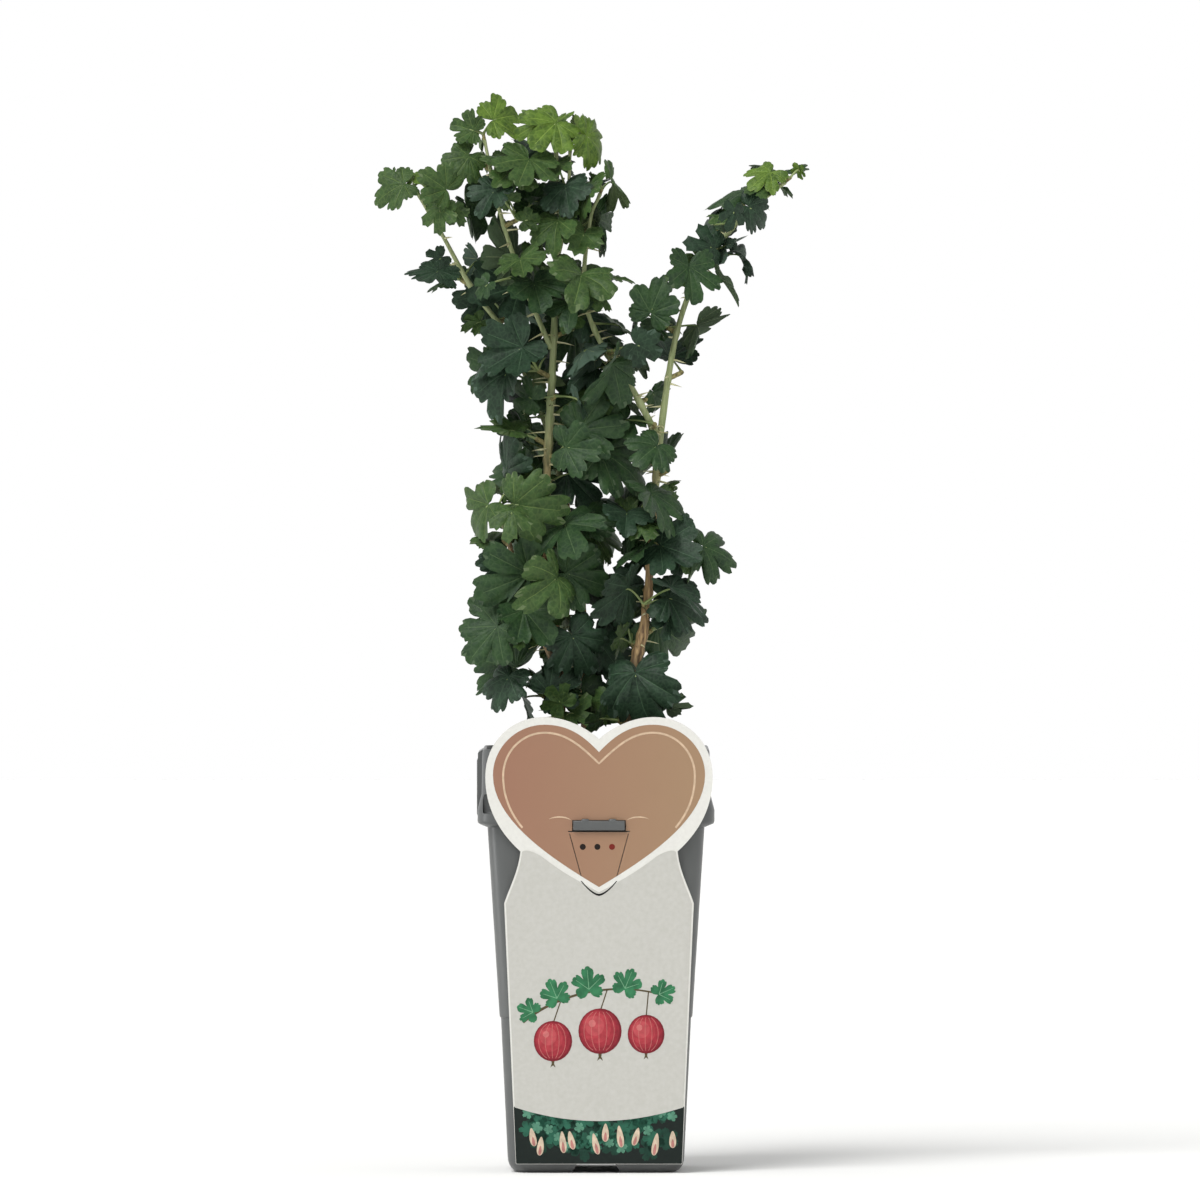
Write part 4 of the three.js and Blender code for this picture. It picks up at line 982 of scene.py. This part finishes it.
# How a blade bends: heights and widths are in blade lengths, but for those in radians from a vein.
TEETH_FROM = 5  # power of the way out from the stalk: the higher, the nearer to the rim the teeth begin
VEIN_HALF, VEIN_TAPER, VEIN_END = 0.010, 0.75, 0.002  # half a width, its fall to the rim, and what is left
VEINS_STOP = 0.95  # share of the way out
STALK_CLEAR = 0.05  # nearer to the stalk than this, a vein gets no wider in degrees
FOLD_ROUND, FOLD_SINK = 0.0015, 0.0387  # they round the crease along the midrib
BROAD_WAVE, FINE_WAVE = (0.06, 2.6), (0.025, 7.3)  # height, and waves for each radian
RIM_CURL = (-0.18, 0.08)
LOBE_FOLD, LOBE_FOLD_TO = (-0.1, 0.34), 0.6  # the fold ends at this angle from the vein
PLEAT, PLEAT_END = 0.010, 1.3
GULLY, GULLY_HALF, GULLY_END = 0.014, 0.06, 1.15  # the groove along a vein


def blade_middle(grid, chosen, dice):
    """Points halfway through the chosen leaves' blades: rows go from stalk to rim, columns round the stalk.

    Height over the flat blade = fold times the sideways distance, less sag times the forward distance
    squared, less cup times the sideways distance squared. Each lobe is folded along its vein, the rim curls
    and waves, a groove runs along each vein and a shallow pleat to each tooth.
    """
    shape = (len(chosen), len(grid.rows), len(grid.columns))
    reach = lobed_reach(grid, dice.uniform(*LOBE_DEPTH, len(chosen)))
    rim = toothed(grid, reach, dice)
    t = grid.rows[None, :, None]
    radius = t * (reach[:, None] * (1 - t ** TEETH_FROM) + rim[:, None] * t ** TEETH_FROM)
    nearest = grid.nearest
    vein_half = np.degrees((VEIN_HALF * (1 - VEIN_TAPER * t) + VEIN_END) / np.maximum(radius, STALK_CLEAR))
    squeezed = nearest + np.sign(np.round(grid.columns - nearest)) * np.minimum(vein_half, grid.step)
    angle = np.where(grid.is_vein_edge & (t < VEINS_STOP), squeezed, np.broadcast_to(grid.columns, shape))
    turn = np.radians(angle)
    u, v = radius * np.cos(turn), radius * np.sin(turn)
    spans = ((0, TURN), RIM_CURL, LOBE_FOLD)
    phase, curl, lobe_fold = (dice.uniform(*span, (len(chosen), 1, 1)) for span in spans)
    off_vein = np.abs(np.radians(angle - nearest))
    wave = (BROAD_WAVE[0] * np.sin(BROAD_WAVE[1] * turn + phase) * t ** 2
            + FINE_WAVE[0] * np.sin(FINE_WAVE[1] * turn + 2 * phase) * t ** 3 + curl * t ** 4)
    pleat = (lobe_fold * radius * np.sin(np.minimum(off_vein, LOBE_FOLD_TO)) * (nearest != 0)
             - PLEAT * np.cos(turn * 360 / TOOTH) * t * (PLEAT_END - t) * 2)
    gully = -GULLY * np.exp(-(off_vein / GULLY_HALF) ** 2) * t * (GULLY_END - t) * 2
    folded, sagging, cupped = (a[chosen][:, None, None] for a in (fold, sag, cup))
    soft = np.sqrt(v ** 2 + FOLD_ROUND) - FOLD_SINK
    w = folded * soft - sagging * u ** 2 - cupped * v ** 2 + wave + pleat + gully
    start, forward, sideways, upward = (a[chosen][:, None, None] for a in (base, rib, side, face))
    bent = u[..., None] * forward + v[..., None] * sideways + w[..., None] * upward
    return start + size[chosen][:, None, None, None] * bent


def sheet(net):
    """Quads and fans of one side of a blade, from its points' numbers net[row, column]; its base is 0."""
    quads = np.stack([net[:-1, :-1], net[1:, :-1], net[1:, 1:], net[:-1, 1:]], -1).reshape(-1, 4)
    fans = np.stack([np.zeros(net.shape[1] - 1, int), net[0, :-1], net[0, 1:]], 1)
    return quads, fans


def blade_shape(grid, chosen, dice):
    """Closed blades of the chosen leaves, and each face's material: upper, lower, or a vein on either side.

    The two sides share their rims, and lie apart by the blade's thickness, which thins out to the rim.
    """
    count, rows, width = len(chosen), len(grid.rows), len(grid.columns)
    middle = blade_middle(grid, chosen, dice)
    lift = BLADE_HALF_THICK * (1 - grid.rows[None, :, None, None] ** 4) * face[chosen][:, None, None]
    halves = (middle + lift, (middle - lift)[:, :-1, 1:-1])
    points = np.concatenate([base[chosen][:, None], *[half.reshape(count, -1, 3) for half in halves]], 1)
    top = 1 + np.arange(rows * width).reshape(rows, width)
    bottom = top.copy()
    bottom[:-1, 1:-1] = 1 + rows * width + np.arange((rows - 1) * (width - 2)).reshape(rows - 1, width - 2)
    (upper_quads, upper_fans), (lower_quads, lower_fans) = sheet(top), sheet(bottom)
    shift = (np.arange(count) * points.shape[1])[:, None, None]
    quads = (np.concatenate([upper_quads, lower_quads[:, ::-1]])[None] + shift).reshape(-1, 4)
    fans = (np.concatenate([upper_fans, lower_fans[:, ::-1]])[None] + shift).reshape(-1, 3)
    vein_fans = grid.is_vein_edge[:-1] & grid.is_vein_edge[1:]
    vein_quads = np.tile(vein_fans, (rows - 1, 1))
    vein_quads[-1] = False
    kinds = [np.tile(np.concatenate([np.where(vein, 2, 0), np.where(vein, 3, 1)]), count)
             for vein in (vein_quads.ravel(), vein_fans)]
    return (points.reshape(-1, 3), quads, fans), np.concatenate(kinds)


def shade(colour, share):
    """A hex colour as linear RGBA, made darker or lighter by a share."""
    return (*[channel * share for channel in linear(colour)[:3]], 1.0)


VEINLET_CELL, VEINLET_EDGE, VEINLET_PALE = 3.0, 0.16, 0.3
UNDER_VEIN = "6a7756"


def blade_stuffs(tint, upper, upper_dark, under, vein, roughness):
    """Materials of one tint: upper side, underside, and the veins on both.

    The upper side's waxy skin gives a broad soft shine, and the underside is matt and greyer. Between the
    pale veins lies a net of veinlets, sunk a little and slightly paler than the blade. Its cells are drawn
    three millimetres wide, coarser than real ones, because those are too fine to show.
    """
    made = []
    sides = (("upper", upper, upper_dark, roughness, 0.22), ("under", under, under, 0.75, 0.2))
    for side_name, tone, dark, dull, shine in sides:
        stuff, tree, shader = finish(f"leaf_{side_name}_{tint}", tone, dull, Specular_IOR_Level=shine)
        place = put(tree, "TexCoord").outputs["Object"]
        cells = put(tree, "TexVoronoi", {"Vector": place, "Scale": 1 / (VEINLET_CELL * MM)},
                    feature="DISTANCE_TO_EDGE").outputs["Distance"]
        net = put(tree, "MapRange", {"Value": cells, "From Max": VEINLET_EDGE, "To Min": VEINLET_PALE,
                                     "To Max": 0.0})
        mottled = blend(tree, grain(tree, 6.0, detail=4.0), linear(dark), linear(tone), 0.35, 0.65)
        netted = put(tree, "Mix", {0: net.outputs["Result"], 6: mottled, 7: linear(vein)}, data_type="RGBA")
        tree.links.new(netted.outputs[2], shader.inputs["Base Color"])
        swell = put(tree, "Math", {0: cells, 1: grain(tree, 1.2)}, operation="ADD").outputs[0]
        emboss(tree, shader, swell, 0.35, 0.6)
        made.append(stuff)
    for name, tone in ((f"leaf_vein_{tint}", vein), (f"leaf_under_vein_{tint}", UNDER_VEIN)):
        stuff, tree, shader = finish(name, tone, 0.6, Specular_IOR_Level=0.25)
        paint(tree, shader, grain(tree, 3.0), shade(tone, 0.85), shade(tone, 1.12))
        made.append(stuff)
    return made


# The tints from youngest to oldest: upper side, its darker spots, underside, veins, and roughness.
TINTS = {"lime": ("587429", "3d5520", "687d43", "78903f", 0.52),
         "fresh": ("3a5429", "2d4220", "5a6a49", "586d3a", 0.5),
         "green": ("2b4524", "203620", "4a5a43", "455b39", 0.5),
         "deep": ("243a28", "1a2b1e", "425447", "3b523c", 0.5)}
LIME, FRESH, GREEN, DEEP = range(len(TINTS))
SHADED_LIMBS = ("bough_low", "bough_middle")
LEFT_OF, LEFT_FRESH = -45, 0.6  # tufts further left than this x are more often fresh, with this chance
BELOW, BELOW_FRESH = 300, 0.3  # and so are tufts below this height

# The main cane's tip is lime all over, and so are the first leaf and the late ones at other tips in the
# light. Every other leaf has its tuft's common tint or one near it, and late leaves lean to younger tints.
dice = np.random.default_rng(3)
for tuft in tufts:
    x, _, z = tuft["tip"]
    young, limb_name = tuft["young"], tuft["limb"].name
    if young or (x < LEFT_OF and dice.random() < LEFT_FRESH) or (z < BELOW and dice.random() < BELOW_FRESH):
        common = FRESH
    else:
        common = GREEN if dice.random() < 0.5 else DEEP
    tuft["tints"] = []
    for order in range(len(tuft["leaves"])):
        late = order >= tuft["grown"]
        step = int(dice.choice([-2, -1, 0] if late else [-1, 0, 0, 1]))
        lit = limb_name not in SHADED_LIMBS and (late or order == 0)
        budding = young and (limb_name == "stem_main" or lit)
        tuft["tints"].append(LIME if budding else min(max(common + step, FRESH), DEEP))
tint_of = np.array([tint for tuft in tufts for tint in tuft["tints"]])
is_late = np.array([order >= tuft["grown"] for tuft in tufts for order in range(len(tuft["leaves"]))])
for number, (tint, tones) in enumerate(TINTS.items()):
    stuffs = blade_stuffs(tint, *tones)
    dice = np.random.default_rng(70 + number)
    grown, grown_kinds = blade_shape(GROWN_GRID, np.nonzero((tint_of == number) & ~is_late)[0], dice)
    small, small_kinds = blade_shape(SMALL_GRID, np.nonzero((tint_of == number) & is_late)[0], dice)
    blades = piece("leaves_" + tint, together(grown, small), *stuffs, sharp=60)
    blades.data.polygons.foreach_set("material_index", np.concatenate([grown_kinds, small_kinds]))
    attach(blades, "root")
    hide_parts(*[tuft["node"] for tuft in tufts if tuft["grown"] and tuft["tints"][0] == number])

# ---------------------------------------------------------------- label card
# A die-cut card of coated white board with a heart top. It leans on the pot, hangs on the hook by a window,
# and its push-out tongue is held by slits. The print is a tan heart, a sprig and a leafy band at the foot.

CARD_HALF_THICK = 0.4
CARD_LEAN = math.radians(4.45)
CARD_X = 1.5
COLLAR_FRONT, COLLAR_GAP, COLLAR_AT = 59.2, 0.3, 176  # the card all but touches the collar at this height
CARD_SHIFT = -(COLLAR_FRONT + COLLAR_GAP + CARD_HALF_THICK) + COLLAR_AT * math.sin(CARD_LEAN)
CARD_SHARP = 30
FILM, FILM_BACK = 0.05, 0.3  # a film of ink's thickness, and its back's height, which lies inside the board
CARD_CURVES = [((44.3, 144.6), (40.2, 151.7), (39.2, 161.7)), ((50.2, 171.7), (56.7, 184), (56.7, 199)),
               ((56.7, 217), (43.4, 229), (27.4, 229)), ((16.4, 229), (6, 223.5), (0, 218))]
card_layers = []


def bezier(start, *curves, steps=12):
    """Outline through cubic curves, each given by its two handles and its end."""
    points, at = [np.array([start], float)], np.array(start, float)
    t = (np.arange(1, steps + 1) / steps)[:, None]
    for handle, second, end in curves:
        a, b, c, d = at, np.array(handle, float), np.array(second, float), np.array(end, float)
        points.append((1 - t) ** 3 * a + 3 * (1 - t) ** 2 * t * b + 3 * (1 - t) * t ** 2 * c + t ** 3 * d)
        at = d
    return np.concatenate(points)


def mirrored(half):
    """The right half of an outline from bottom to top, then its mirror image back down."""
    left = half[::-1] * (-1, 1)
    return np.concatenate([half, left[1:] if half[-1][0] == 0 else left])


def on_card(points):
    """Turns points of (x, height out of the card, z) back by the card's lean, to its place on the pot."""
    x, out, z = np.moveaxis(np.asarray(points, float), -1, 0)
    y = -out
    return np.stack([x + CARD_X, y * math.cos(CARD_LEAN) - z * math.sin(CARD_LEAN) + CARD_SHIFT,
                     y * math.sin(CARD_LEAN) + z * math.cos(CARD_LEAN)], -1)


def plate(outline, low, high):
    """Flat plate of an outline that runs anticlockwise, from one height out of the card to another."""
    count = len(outline)
    sides = [np.stack([outline[:, 0], np.full(count, out), outline[:, 1]], 1) for out in (low, high)]
    here = np.arange(count)
    after = (here + 1) % count
    walls = np.stack([here, after, after + count, here + count], 1)
    return on_card(np.concatenate(sides)), walls, (here + count)[None], here[::-1][None]


def spots(outlines, low, high):
    """Many small flat shapes at once, each star-shaped about its middle: outlines[shape, point]."""
    across, up = outlines[..., 0], outlines[..., 1]
    rings = [np.stack([across, np.full_like(up, out), up], -1) for out in (low, high)]
    return skin(on_card(np.stack(rings, 1)))


def film(number):
    """Heights of a film's back, inside the board, and of its front, so many films above the board's face."""
    return FILM_BACK, CARD_HALF_THICK + number * FILM


def ribbon(path, width):
    """Outline of a line along a path: half its width to either side, square to the path."""
    way = unit(np.gradient(path, axis=0))
    normal = np.stack([-way[:, 1], way[:, 0]], 1)
    half = np.asarray(width)[..., None] / 2
    return np.concatenate([path - normal * half, (path + normal * half)[::-1]])


def layer(name, shape, stuff):
    """One layer of the card: its board, or a film of ink, with sharp rims."""
    card_layers.append(piece(name, shape, stuff, sharp=CARD_SHARP))
    return card_layers[-1]


# Coated board: an off-white, a little grey, that stays even to the eye, with a soft shine from its coating
# and a faint tooth of fibres under it.
board, tree, shader = finish("coated_board", "d3d2cc", 0.38, IOR=1.5)
paint(tree, shader, grain(tree, 1.6, detail=3.0), linear("d0cfc9"), linear("d6d5cf"), 0.3, 0.7)
emboss(tree, shader, grain(tree, 1.2, detail=2.0), 0.03, 0.4)
card_half = np.concatenate([[(41.2, 4.6), (41.6, 5.1)], bezier((47.3, 135.6), *CARD_CURVES, steps=16)])
card = layer("card_board", plate(mirrored(card_half), -CARD_HALF_THICK, CARD_HALF_THICK), board)

# A pale grey ground covers the board but for the card's top round the heart and a thin strip along its sides.
# That bare white strip along the sides is a painted highlight on the cut edge. The sprig is printed on the
# ground, and the ground lies over the upper edge of the band at the card's foot.
GROUND_FILMS = 4.5
# Grey ink: a flat pale tint that lies even on the coating. It stops short of the card's sides, and the white
# board left bare there is a painted highlight along the cut edge.
grey_ink, tree, shader = finish("pale_grey_ink", "b6b5ae", 0.4, IOR=1.5)
paint(tree, shader, grain(tree, 2.2, detail=3.0), linear("b2b1aa"), linear("b9b8b2"), 0.3, 0.7)
# The ground's outline keeps 0.7 to 0.9 mm inside the card's sides; the bare board there is the painted
# highlight.
ground_half = np.concatenate([
    bezier((0, 26.3), ((15, 26.3), (29, 28.9), (42.1, 33.2)), steps=14),
    bezier((46.4, 135.4), ((43.5, 144.2), (39.4, 151.2), (38.4, 161.5)),
           ((36.5, 163.5), (30, 160.5), (26.6, 157.6)), ((18, 151), (10, 146.5), (0, 141.2)), steps=12)])
ground = layer("card_ground", plate(mirrored(ground_half)[:-1], *film(GROUND_FILMS)), grey_ink)

# The heart. Tan ink is dull and warm, and drifts from a pinker left side to a yellower right side.
TAN_DRIFT = (-45, 50)
tan_ink, tree, shader = finish("tan_ink", "927056", 0.4, IOR=1.5)
across = put(tree, "SeparateXYZ", {0: put(tree, "TexCoord").outputs["Object"]}).outputs["X"]
paint(tree, shader, across, linear("8f6751"), linear("95785b"), TAN_DRIFT[0] * MM, TAN_DRIFT[1] * MM)
heart_half = bezier((0, 143.8), ((20, 156), (52.9, 176), (52.9, 200)),
                    ((52.9, 213.5), (41.5, 225.2), (27.2, 225.2)), ((15.5, 225.2), (8, 220), (0, 211.5)),
                    steps=18)
heart = layer("card_heart", plate(mirrored(heart_half), *film(1)), tan_ink)


def ink(name, colour, spread=0.1, spot=2.5):
    """Print on coated board: a thin satin film whose tone drifts a little, as it does over paper."""
    stuff, tree, shader = finish(name, colour, 0.5, IOR=1.5, Specular_IOR_Level=0.2)
    paint(tree, shader, grain(tree, spot, detail=3.0), shade(colour, 1 - spread), shade(colour, 1 + spread))
    return stuff


# A cream line runs round the heart, and two short strokes taper at both ends like creases.
LINE_WIDTH, STROKE_WIDTH = 1.0, 0.7
cream_ink = ink("cream_ink", "c2a98f")
line_half = bezier((38.2, 173.6), ((44.4, 181), (47.8, 189.5), (47.8, 199.5)),
                   ((47.8, 211.5), (38.6, 221.2), (27, 221.2)), ((16, 221.2), (8.5, 214), (0, 205.8)),
                   steps=18)
layer("card_line", plate(ribbon(mirrored(line_half), LINE_WIDTH), *film(2)), cream_ink)
stroke_shapes = []
for hand in (-1, 1):
    handles_and_end = ((hand * 17, 179.4), (hand * 22, 179.4), (hand * 25, 177.9))
    curve = bezier((hand * 14.2, 177.6), handles_and_end, steps=8)
    width = np.sin(np.linspace(0.25, math.pi - 0.1, len(curve))) * STROKE_WIDTH
    stroke_shapes.append(plate(ribbon(curve, width), *film(2)))
layer("card_creases", together(*stroke_shapes), cream_ink)

# The window for the hook, and the slits beside and below the tongue, are punched through board and ink.
WINDOW = np.array([(-15.4, 171.4), (15.4, 171.4), (15.4, 172), (13.4, 172), (13.4, 177.4), (-13.4, 177.4),
                   (-13.4, 172), (-15.4, 172)])
SLIT = np.array([(8.7, 149.2), (9.1, 149.2), (14.9, 170.6), (14.5, 170.6)])
PUNCH_REACH = 3  # through the card, to both sides
arc_t = np.linspace(-1, 1, 13)
low_arc = np.stack([arc_t * 9.2, 139.3 + 7.6 * np.abs(arc_t) ** 1.6], 1)
high_arc = np.stack([arc_t * 8.6, 140.4 + 6.5 * np.abs(arc_t) ** 1.6], 1)
punched = (WINDOW, SLIT, (SLIT * (-1, 1))[::-1], np.concatenate([low_arc, high_arc[::-1]]))
for target in (card, ground, heart):
    cutters = [piece(f"punch_{target.name}_{number}", plate(hole, -PUNCH_REACH, PUNCH_REACH), board)
               for number, hole in enumerate(punched)]
    cut(target, *cutters, sharp=CARD_SHARP)

# Three round colour spots on the tongue, two dark and one red.
SPOT_RADIUS, SPOT_HEIGHT = 1.5, 164.0
turn = np.linspace(0, TURN, 28, endpoint=False)
disc = np.stack([np.cos(turn), np.sin(turn)], 1)
for name, ink_name, tone, at in (("card_dots_dark", "dark_ink", "1c1410", [-8.1, -0.8]),
                                 ("card_dot_red", "dark_red_ink", "6a1f18", [6.5])):
    middles = np.array([(x, SPOT_HEIGHT) for x in at])[:, None]
    layer(name, spots(disc * SPOT_RADIUS + middles, *film(2)), ink(ink_name, tone))

# A printed sprig: an arching twig with broad lobed leaves above it, and round fruit that hangs below. Nested
# films from dark to light round a fruit off; pale lines run down it and the dried flower ends it.
FRUIT_AT = np.array([(-23, 66.5, 9.6), (0.5, 71.5, 10.8), (23.5, 70.0, 9.2)])  # x, height and radius
HUNG_FROM = [6, 12, 17]  # points of the twig
TWIG_WIDTHS, STRAND_WIDTH, FRUIT_VEIN_WIDTH = (1.5, 0.7), 0.6, 0.24
FLOWER_RADIUS = 8  # of the fruit that the dried flower's outline is drawn for
DRIED_FLOWER = np.array([(-0.5, -1.3), (-1.1, -2.9), (0, -2.0), (1.1, -2.9), (0.5, -1.3), (0.7, 0),
                         (-0.7, 0)])
twig_path = bezier((-38, 76), ((-20, 91), (10, 98), (37, 88)), steps=20)
twig_films = film(GROUND_FILMS + 1)
twig_shapes = [plate(ribbon(twig_path, np.linspace(*TWIG_WIDTHS, len(twig_path))), *twig_films)]
for (x, z, radius), (x0, z0) in zip(FRUIT_AT, twig_path[HUNG_FROM]):
    strand = np.stack([np.linspace(x0, x, 5), np.linspace(z0, z + radius * 0.9, 5)], 1)
    twig_shapes.append(plate(ribbon(strand, np.full(5, STRAND_WIDTH)), *twig_films))
    dried = DRIED_FLOWER * (radius / FLOWER_RADIUS) + (x, z - radius * 1.02)
    twig_shapes.append(plate(dried, *twig_films))
layer("card_twig", together(*twig_shapes), ink("twig_ink", "4f4530"))

# Each film's tone, its share of the fruit's radius, and its shift to the light by a share of it.
FRUIT_FILMS = [("6e1c27", 1.0, 0.0), ("84242f", 0.93, 0.03), ("942d37", 0.82, 0.08), ("a1373f", 0.66, 0.15),
               ("ab474c", 0.44, 0.25), ("ba6766", 0.16, 0.36)]
for level, (tone, share, shift) in enumerate(FRUIT_FILMS):
    middles = FRUIT_AT[:, None, :2] + FRUIT_AT[:, None, 2:] * np.array((-shift, shift))
    outlines = disc[None] * FRUIT_AT[:, None, 2:] * share * (1, 1.06) + middles
    layer(f"card_fruit_{level}", spots(outlines, *film(GROUND_FILMS + 1.6 + 0.4 * level)),
          ink(f"fruit_ink_{level}", tone, 0.14))
down = np.linspace(-0.86, 0.86, 15)
vein_shapes = []
for x, z, radius in FRUIT_AT:
    for bulge in (-0.74, -0.4, -0.05, 0.32, 0.66):
        curve = np.stack([x + radius * bulge * np.sqrt(1 - (down * 1.05) ** 2), z + radius * 1.04 * down], 1)
        vein_shapes.append(plate(ribbon(curve, np.full(15, FRUIT_VEIN_WIDTH)), *film(GROUND_FILMS + 4)))
layer("card_fruit_veins", together(*vein_shapes), ink("fruit_vein_ink", "b36a66"))


PRINTED_LOBES, LEAF_LINE = 0.4, (0.35, 0.15)  # how deep the lobes are cut, and a line's width at its ends


def printed_leaves(places):
    """Flat lobed outlines like the bush's own, at rows of x, z, length and direction in degrees."""
    x, z, length, way = np.array(places, float).T[..., None]
    plain = lobed_reach(GROWN_GRID, np.full(len(x), PRINTED_LOBES))
    reach = toothed(GROWN_GRID, plain, np.random.default_rng(9)) * length
    turned = np.radians(GROWN_GRID.columns + way)
    return np.stack([x + reach * np.cos(turned), z + reach * np.sin(turned)], -1)


def printed_veins(places):
    """Three thin lines along each printed leaf's lobes."""
    lines = []
    for x, z, length, way in places:
        for swing, reach in ((-50, 0.7), (0, 0.85), (50, 0.7)):
            a = math.radians(way + swing)
            out = np.linspace(0, length * reach, 4)[:, None] * (math.cos(a), math.sin(a))
            line = ribbon(out + (x, z), np.linspace(*LEAF_LINE, 4))
            lines.append(plate(line, *film(GROUND_FILMS + 2.6)))
    return together(*lines)


sprig_places = [(-33, 81.0, 8.5, 160), (-21, 88.0, 10.5, 112), (-5, 92.5, 11.5, 95), (13, 93.0, 10.5, 68),
                (30, 90.0, 8.8, 24)]
layer("card_sprig_leaves", spots(printed_leaves(sprig_places), *film(GROUND_FILMS + 1.5)),
      ink("leaf_ink", "2f6a47", 0.3, 5.0))
layer("card_sprig_veins", printed_veins(sprig_places), ink("pale_green_ink", "6f9f7c"))

# The band at the card's foot: dark ground, crowded leaves in three greens, and pale buds that hang in front.
BAND_OUTLINE = np.array([(-41.1, 4.75), (41.1, 4.75), (41.45, 5.2), (42.6, 33.3), (41.0, 34.6), (-41.0, 34.6),
                         (-42.6, 33.3), (-41.45, 5.2)])
# Each green's tone, its number of leaves, and their least and greatest length.
BAND_LEAVES = [("16382c", 34, 6.0, 9.5), ("245543", 28, 4.5, 7.5), ("4f7f69", 15, 2.6, 4.2)]
BAND_HALF, BAND_FLOOR, BAND_HEIGHTS = 41.2, 5.6, (12.0, 34.0)  # the leaves keep inside these
layer("card_band", plate(BAND_OUTLINE, *film(0.5)), ink("dark_green_ink", "141d1a"))
dice = np.random.default_rng(21)
for level, (tone, count, low, high) in enumerate(BAND_LEAVES):
    length = dice.uniform(low, high, count)
    x = (np.arange(count) + dice.uniform(0.1, 0.9, count)) / count * 2 - 1
    z = np.maximum(dice.uniform(*BAND_HEIGHTS, count), BAND_FLOOR + length)
    places = np.stack([x * (BAND_HALF - length), z, length, dice.uniform(0, 360, count)], 1)
    layer(f"card_band_leaves_{level}", spots(printed_leaves(places), *film(1.0 + 0.6 * level)),
          ink(f"foliage_ink_{level}", tone, 0.25, 4.0))

# A bud is a drop, wider at its foot: a pale one, and a smaller pink one printed on it lower down.
BUDS = 10
BUD_FILMS = [("c2b09a", 1.0, 0.0, 1.1), ("a9736c", 0.5, 0.45, 1.0)]  # tone, size, drop, width
bud_x = (np.linspace(-35, 35, BUDS) + dice.uniform(-2.5, 2.5, BUDS))[:, None]
bud_z = dice.uniform(12.5, 21, BUDS)[:, None]
bud_long, bud_lean = dice.uniform(4.2, 5.8, BUDS)[:, None], dice.uniform(-0.3, 0.3, BUDS)[:, None]
for part, (tone, share, drop, wide) in enumerate(BUD_FILMS):
    height = disc[:, 1] * share - drop
    across = disc[:, 0] * (1.5 - 0.5 * disc[:, 1]) * share * wide
    outlines = np.stack([bud_x + across + height * bud_long * bud_lean, bud_z + height * bud_long], -1)
    bud_ink = ink(f"bud_ink_{part}", tone, 0.15)
    layer(f"card_band_buds_{part}", spots(outlines, *film(3.0 + 0.6 * part)), bud_ink)
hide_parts("label_card")
for printed in card_layers:
    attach(printed, "root")

# ---------------------------------------------------------------- floor, light and camera
# A pale matt floor, a light tent with a broad soft sun and one small lamp by the pot's left edge, and a long
# lens almost level with the middle of the bush.

FLOOR_HALF = 9000.0
# Studio paint: matt and nearly white, so that the floor runs into the backdrop and shows only a soft shadow.
floor_paint, _, _ = finish("studio_floor", "f8f8f6", 0.95, Specular_IOR_Level=0.1)
corners = np.array([(-1, -1, 0), (1, -1, 0), (1, 1, 0), (-1, 1, 0)]) * FLOOR_HALF
floor = piece("studio_floor", (corners, np.array([[0, 1, 2, 3]])), floor_paint)

# A light tent: white near the horizon, softer overhead.
world = bpy.data.worlds.new("studio")
world.use_nodes = True
tent = world.node_tree
upwards = put(tent, "SeparateXYZ", {0: put(tent, "TexCoord").outputs["Generated"]}).outputs["Z"]
strength = put(tent, "MapRange", {"Value": upwards, "From Min": 0.25, "From Max": 0.7, "To Min": 1.0,
                                  "To Max": 0.45})
backdrop = tent.nodes["Background"]
backdrop.inputs["Color"].default_value = (1, 1, 1, 1)
tent.links.new(strength.outputs["Result"], backdrop.inputs["Strength"])
bpy.context.scene.world = world
bpy.context.scene.view_settings.view_transform = "Standard"

LAMPS_AIM = Vector((0, 0, 0.3))


def lamp(name, kind, place, power, **settings):
    """Lamp at a place in metres, turned to the middle of the bush."""
    light = bpy.data.lights.new(name, kind)
    light.energy = power
    for key, value in settings.items():
        setattr(light, key, value)
    made = bpy.data.objects.new(name, light)
    made.location = place
    made.rotation_euler = (LAMPS_AIM - made.location).to_track_quat("-Z", "Y").to_euler()
    bpy.context.scene.collection.objects.link(made)


lamp("key", "SUN", (-1.2, -1.8, 2.7), 2.3, angle=math.radians(30))
lamp("edge", "AREA", (-0.75, -0.06, 0.07), 0.55, shape="RECTANGLE", size=0.05, size_y=0.13)

FRAME_WIDTH, SENSOR = 0.603, 36.0  # metres across the view at the bush, and millimetres
DISTANCE, ELEVATION = 8.0, math.radians(0.6)
CAMERA_AIM = Vector((0.002, 0.0, 0.286))
lens = bpy.data.cameras.new("camera")
lens.sensor_width = SENSOR
lens.lens = SENSOR * DISTANCE / FRAME_WIDTH
lens.clip_end = 100.0
camera = bpy.data.objects.new("camera", lens)
camera.location = CAMERA_AIM + DISTANCE * Vector((0, -math.cos(ELEVATION), math.sin(ELEVATION)))
camera.rotation_euler = (CAMERA_AIM - camera.location).to_track_quat("-Z", "Y").to_euler()
bpy.context.scene.collection.objects.link(camera)
bpy.context.scene.camera = camera
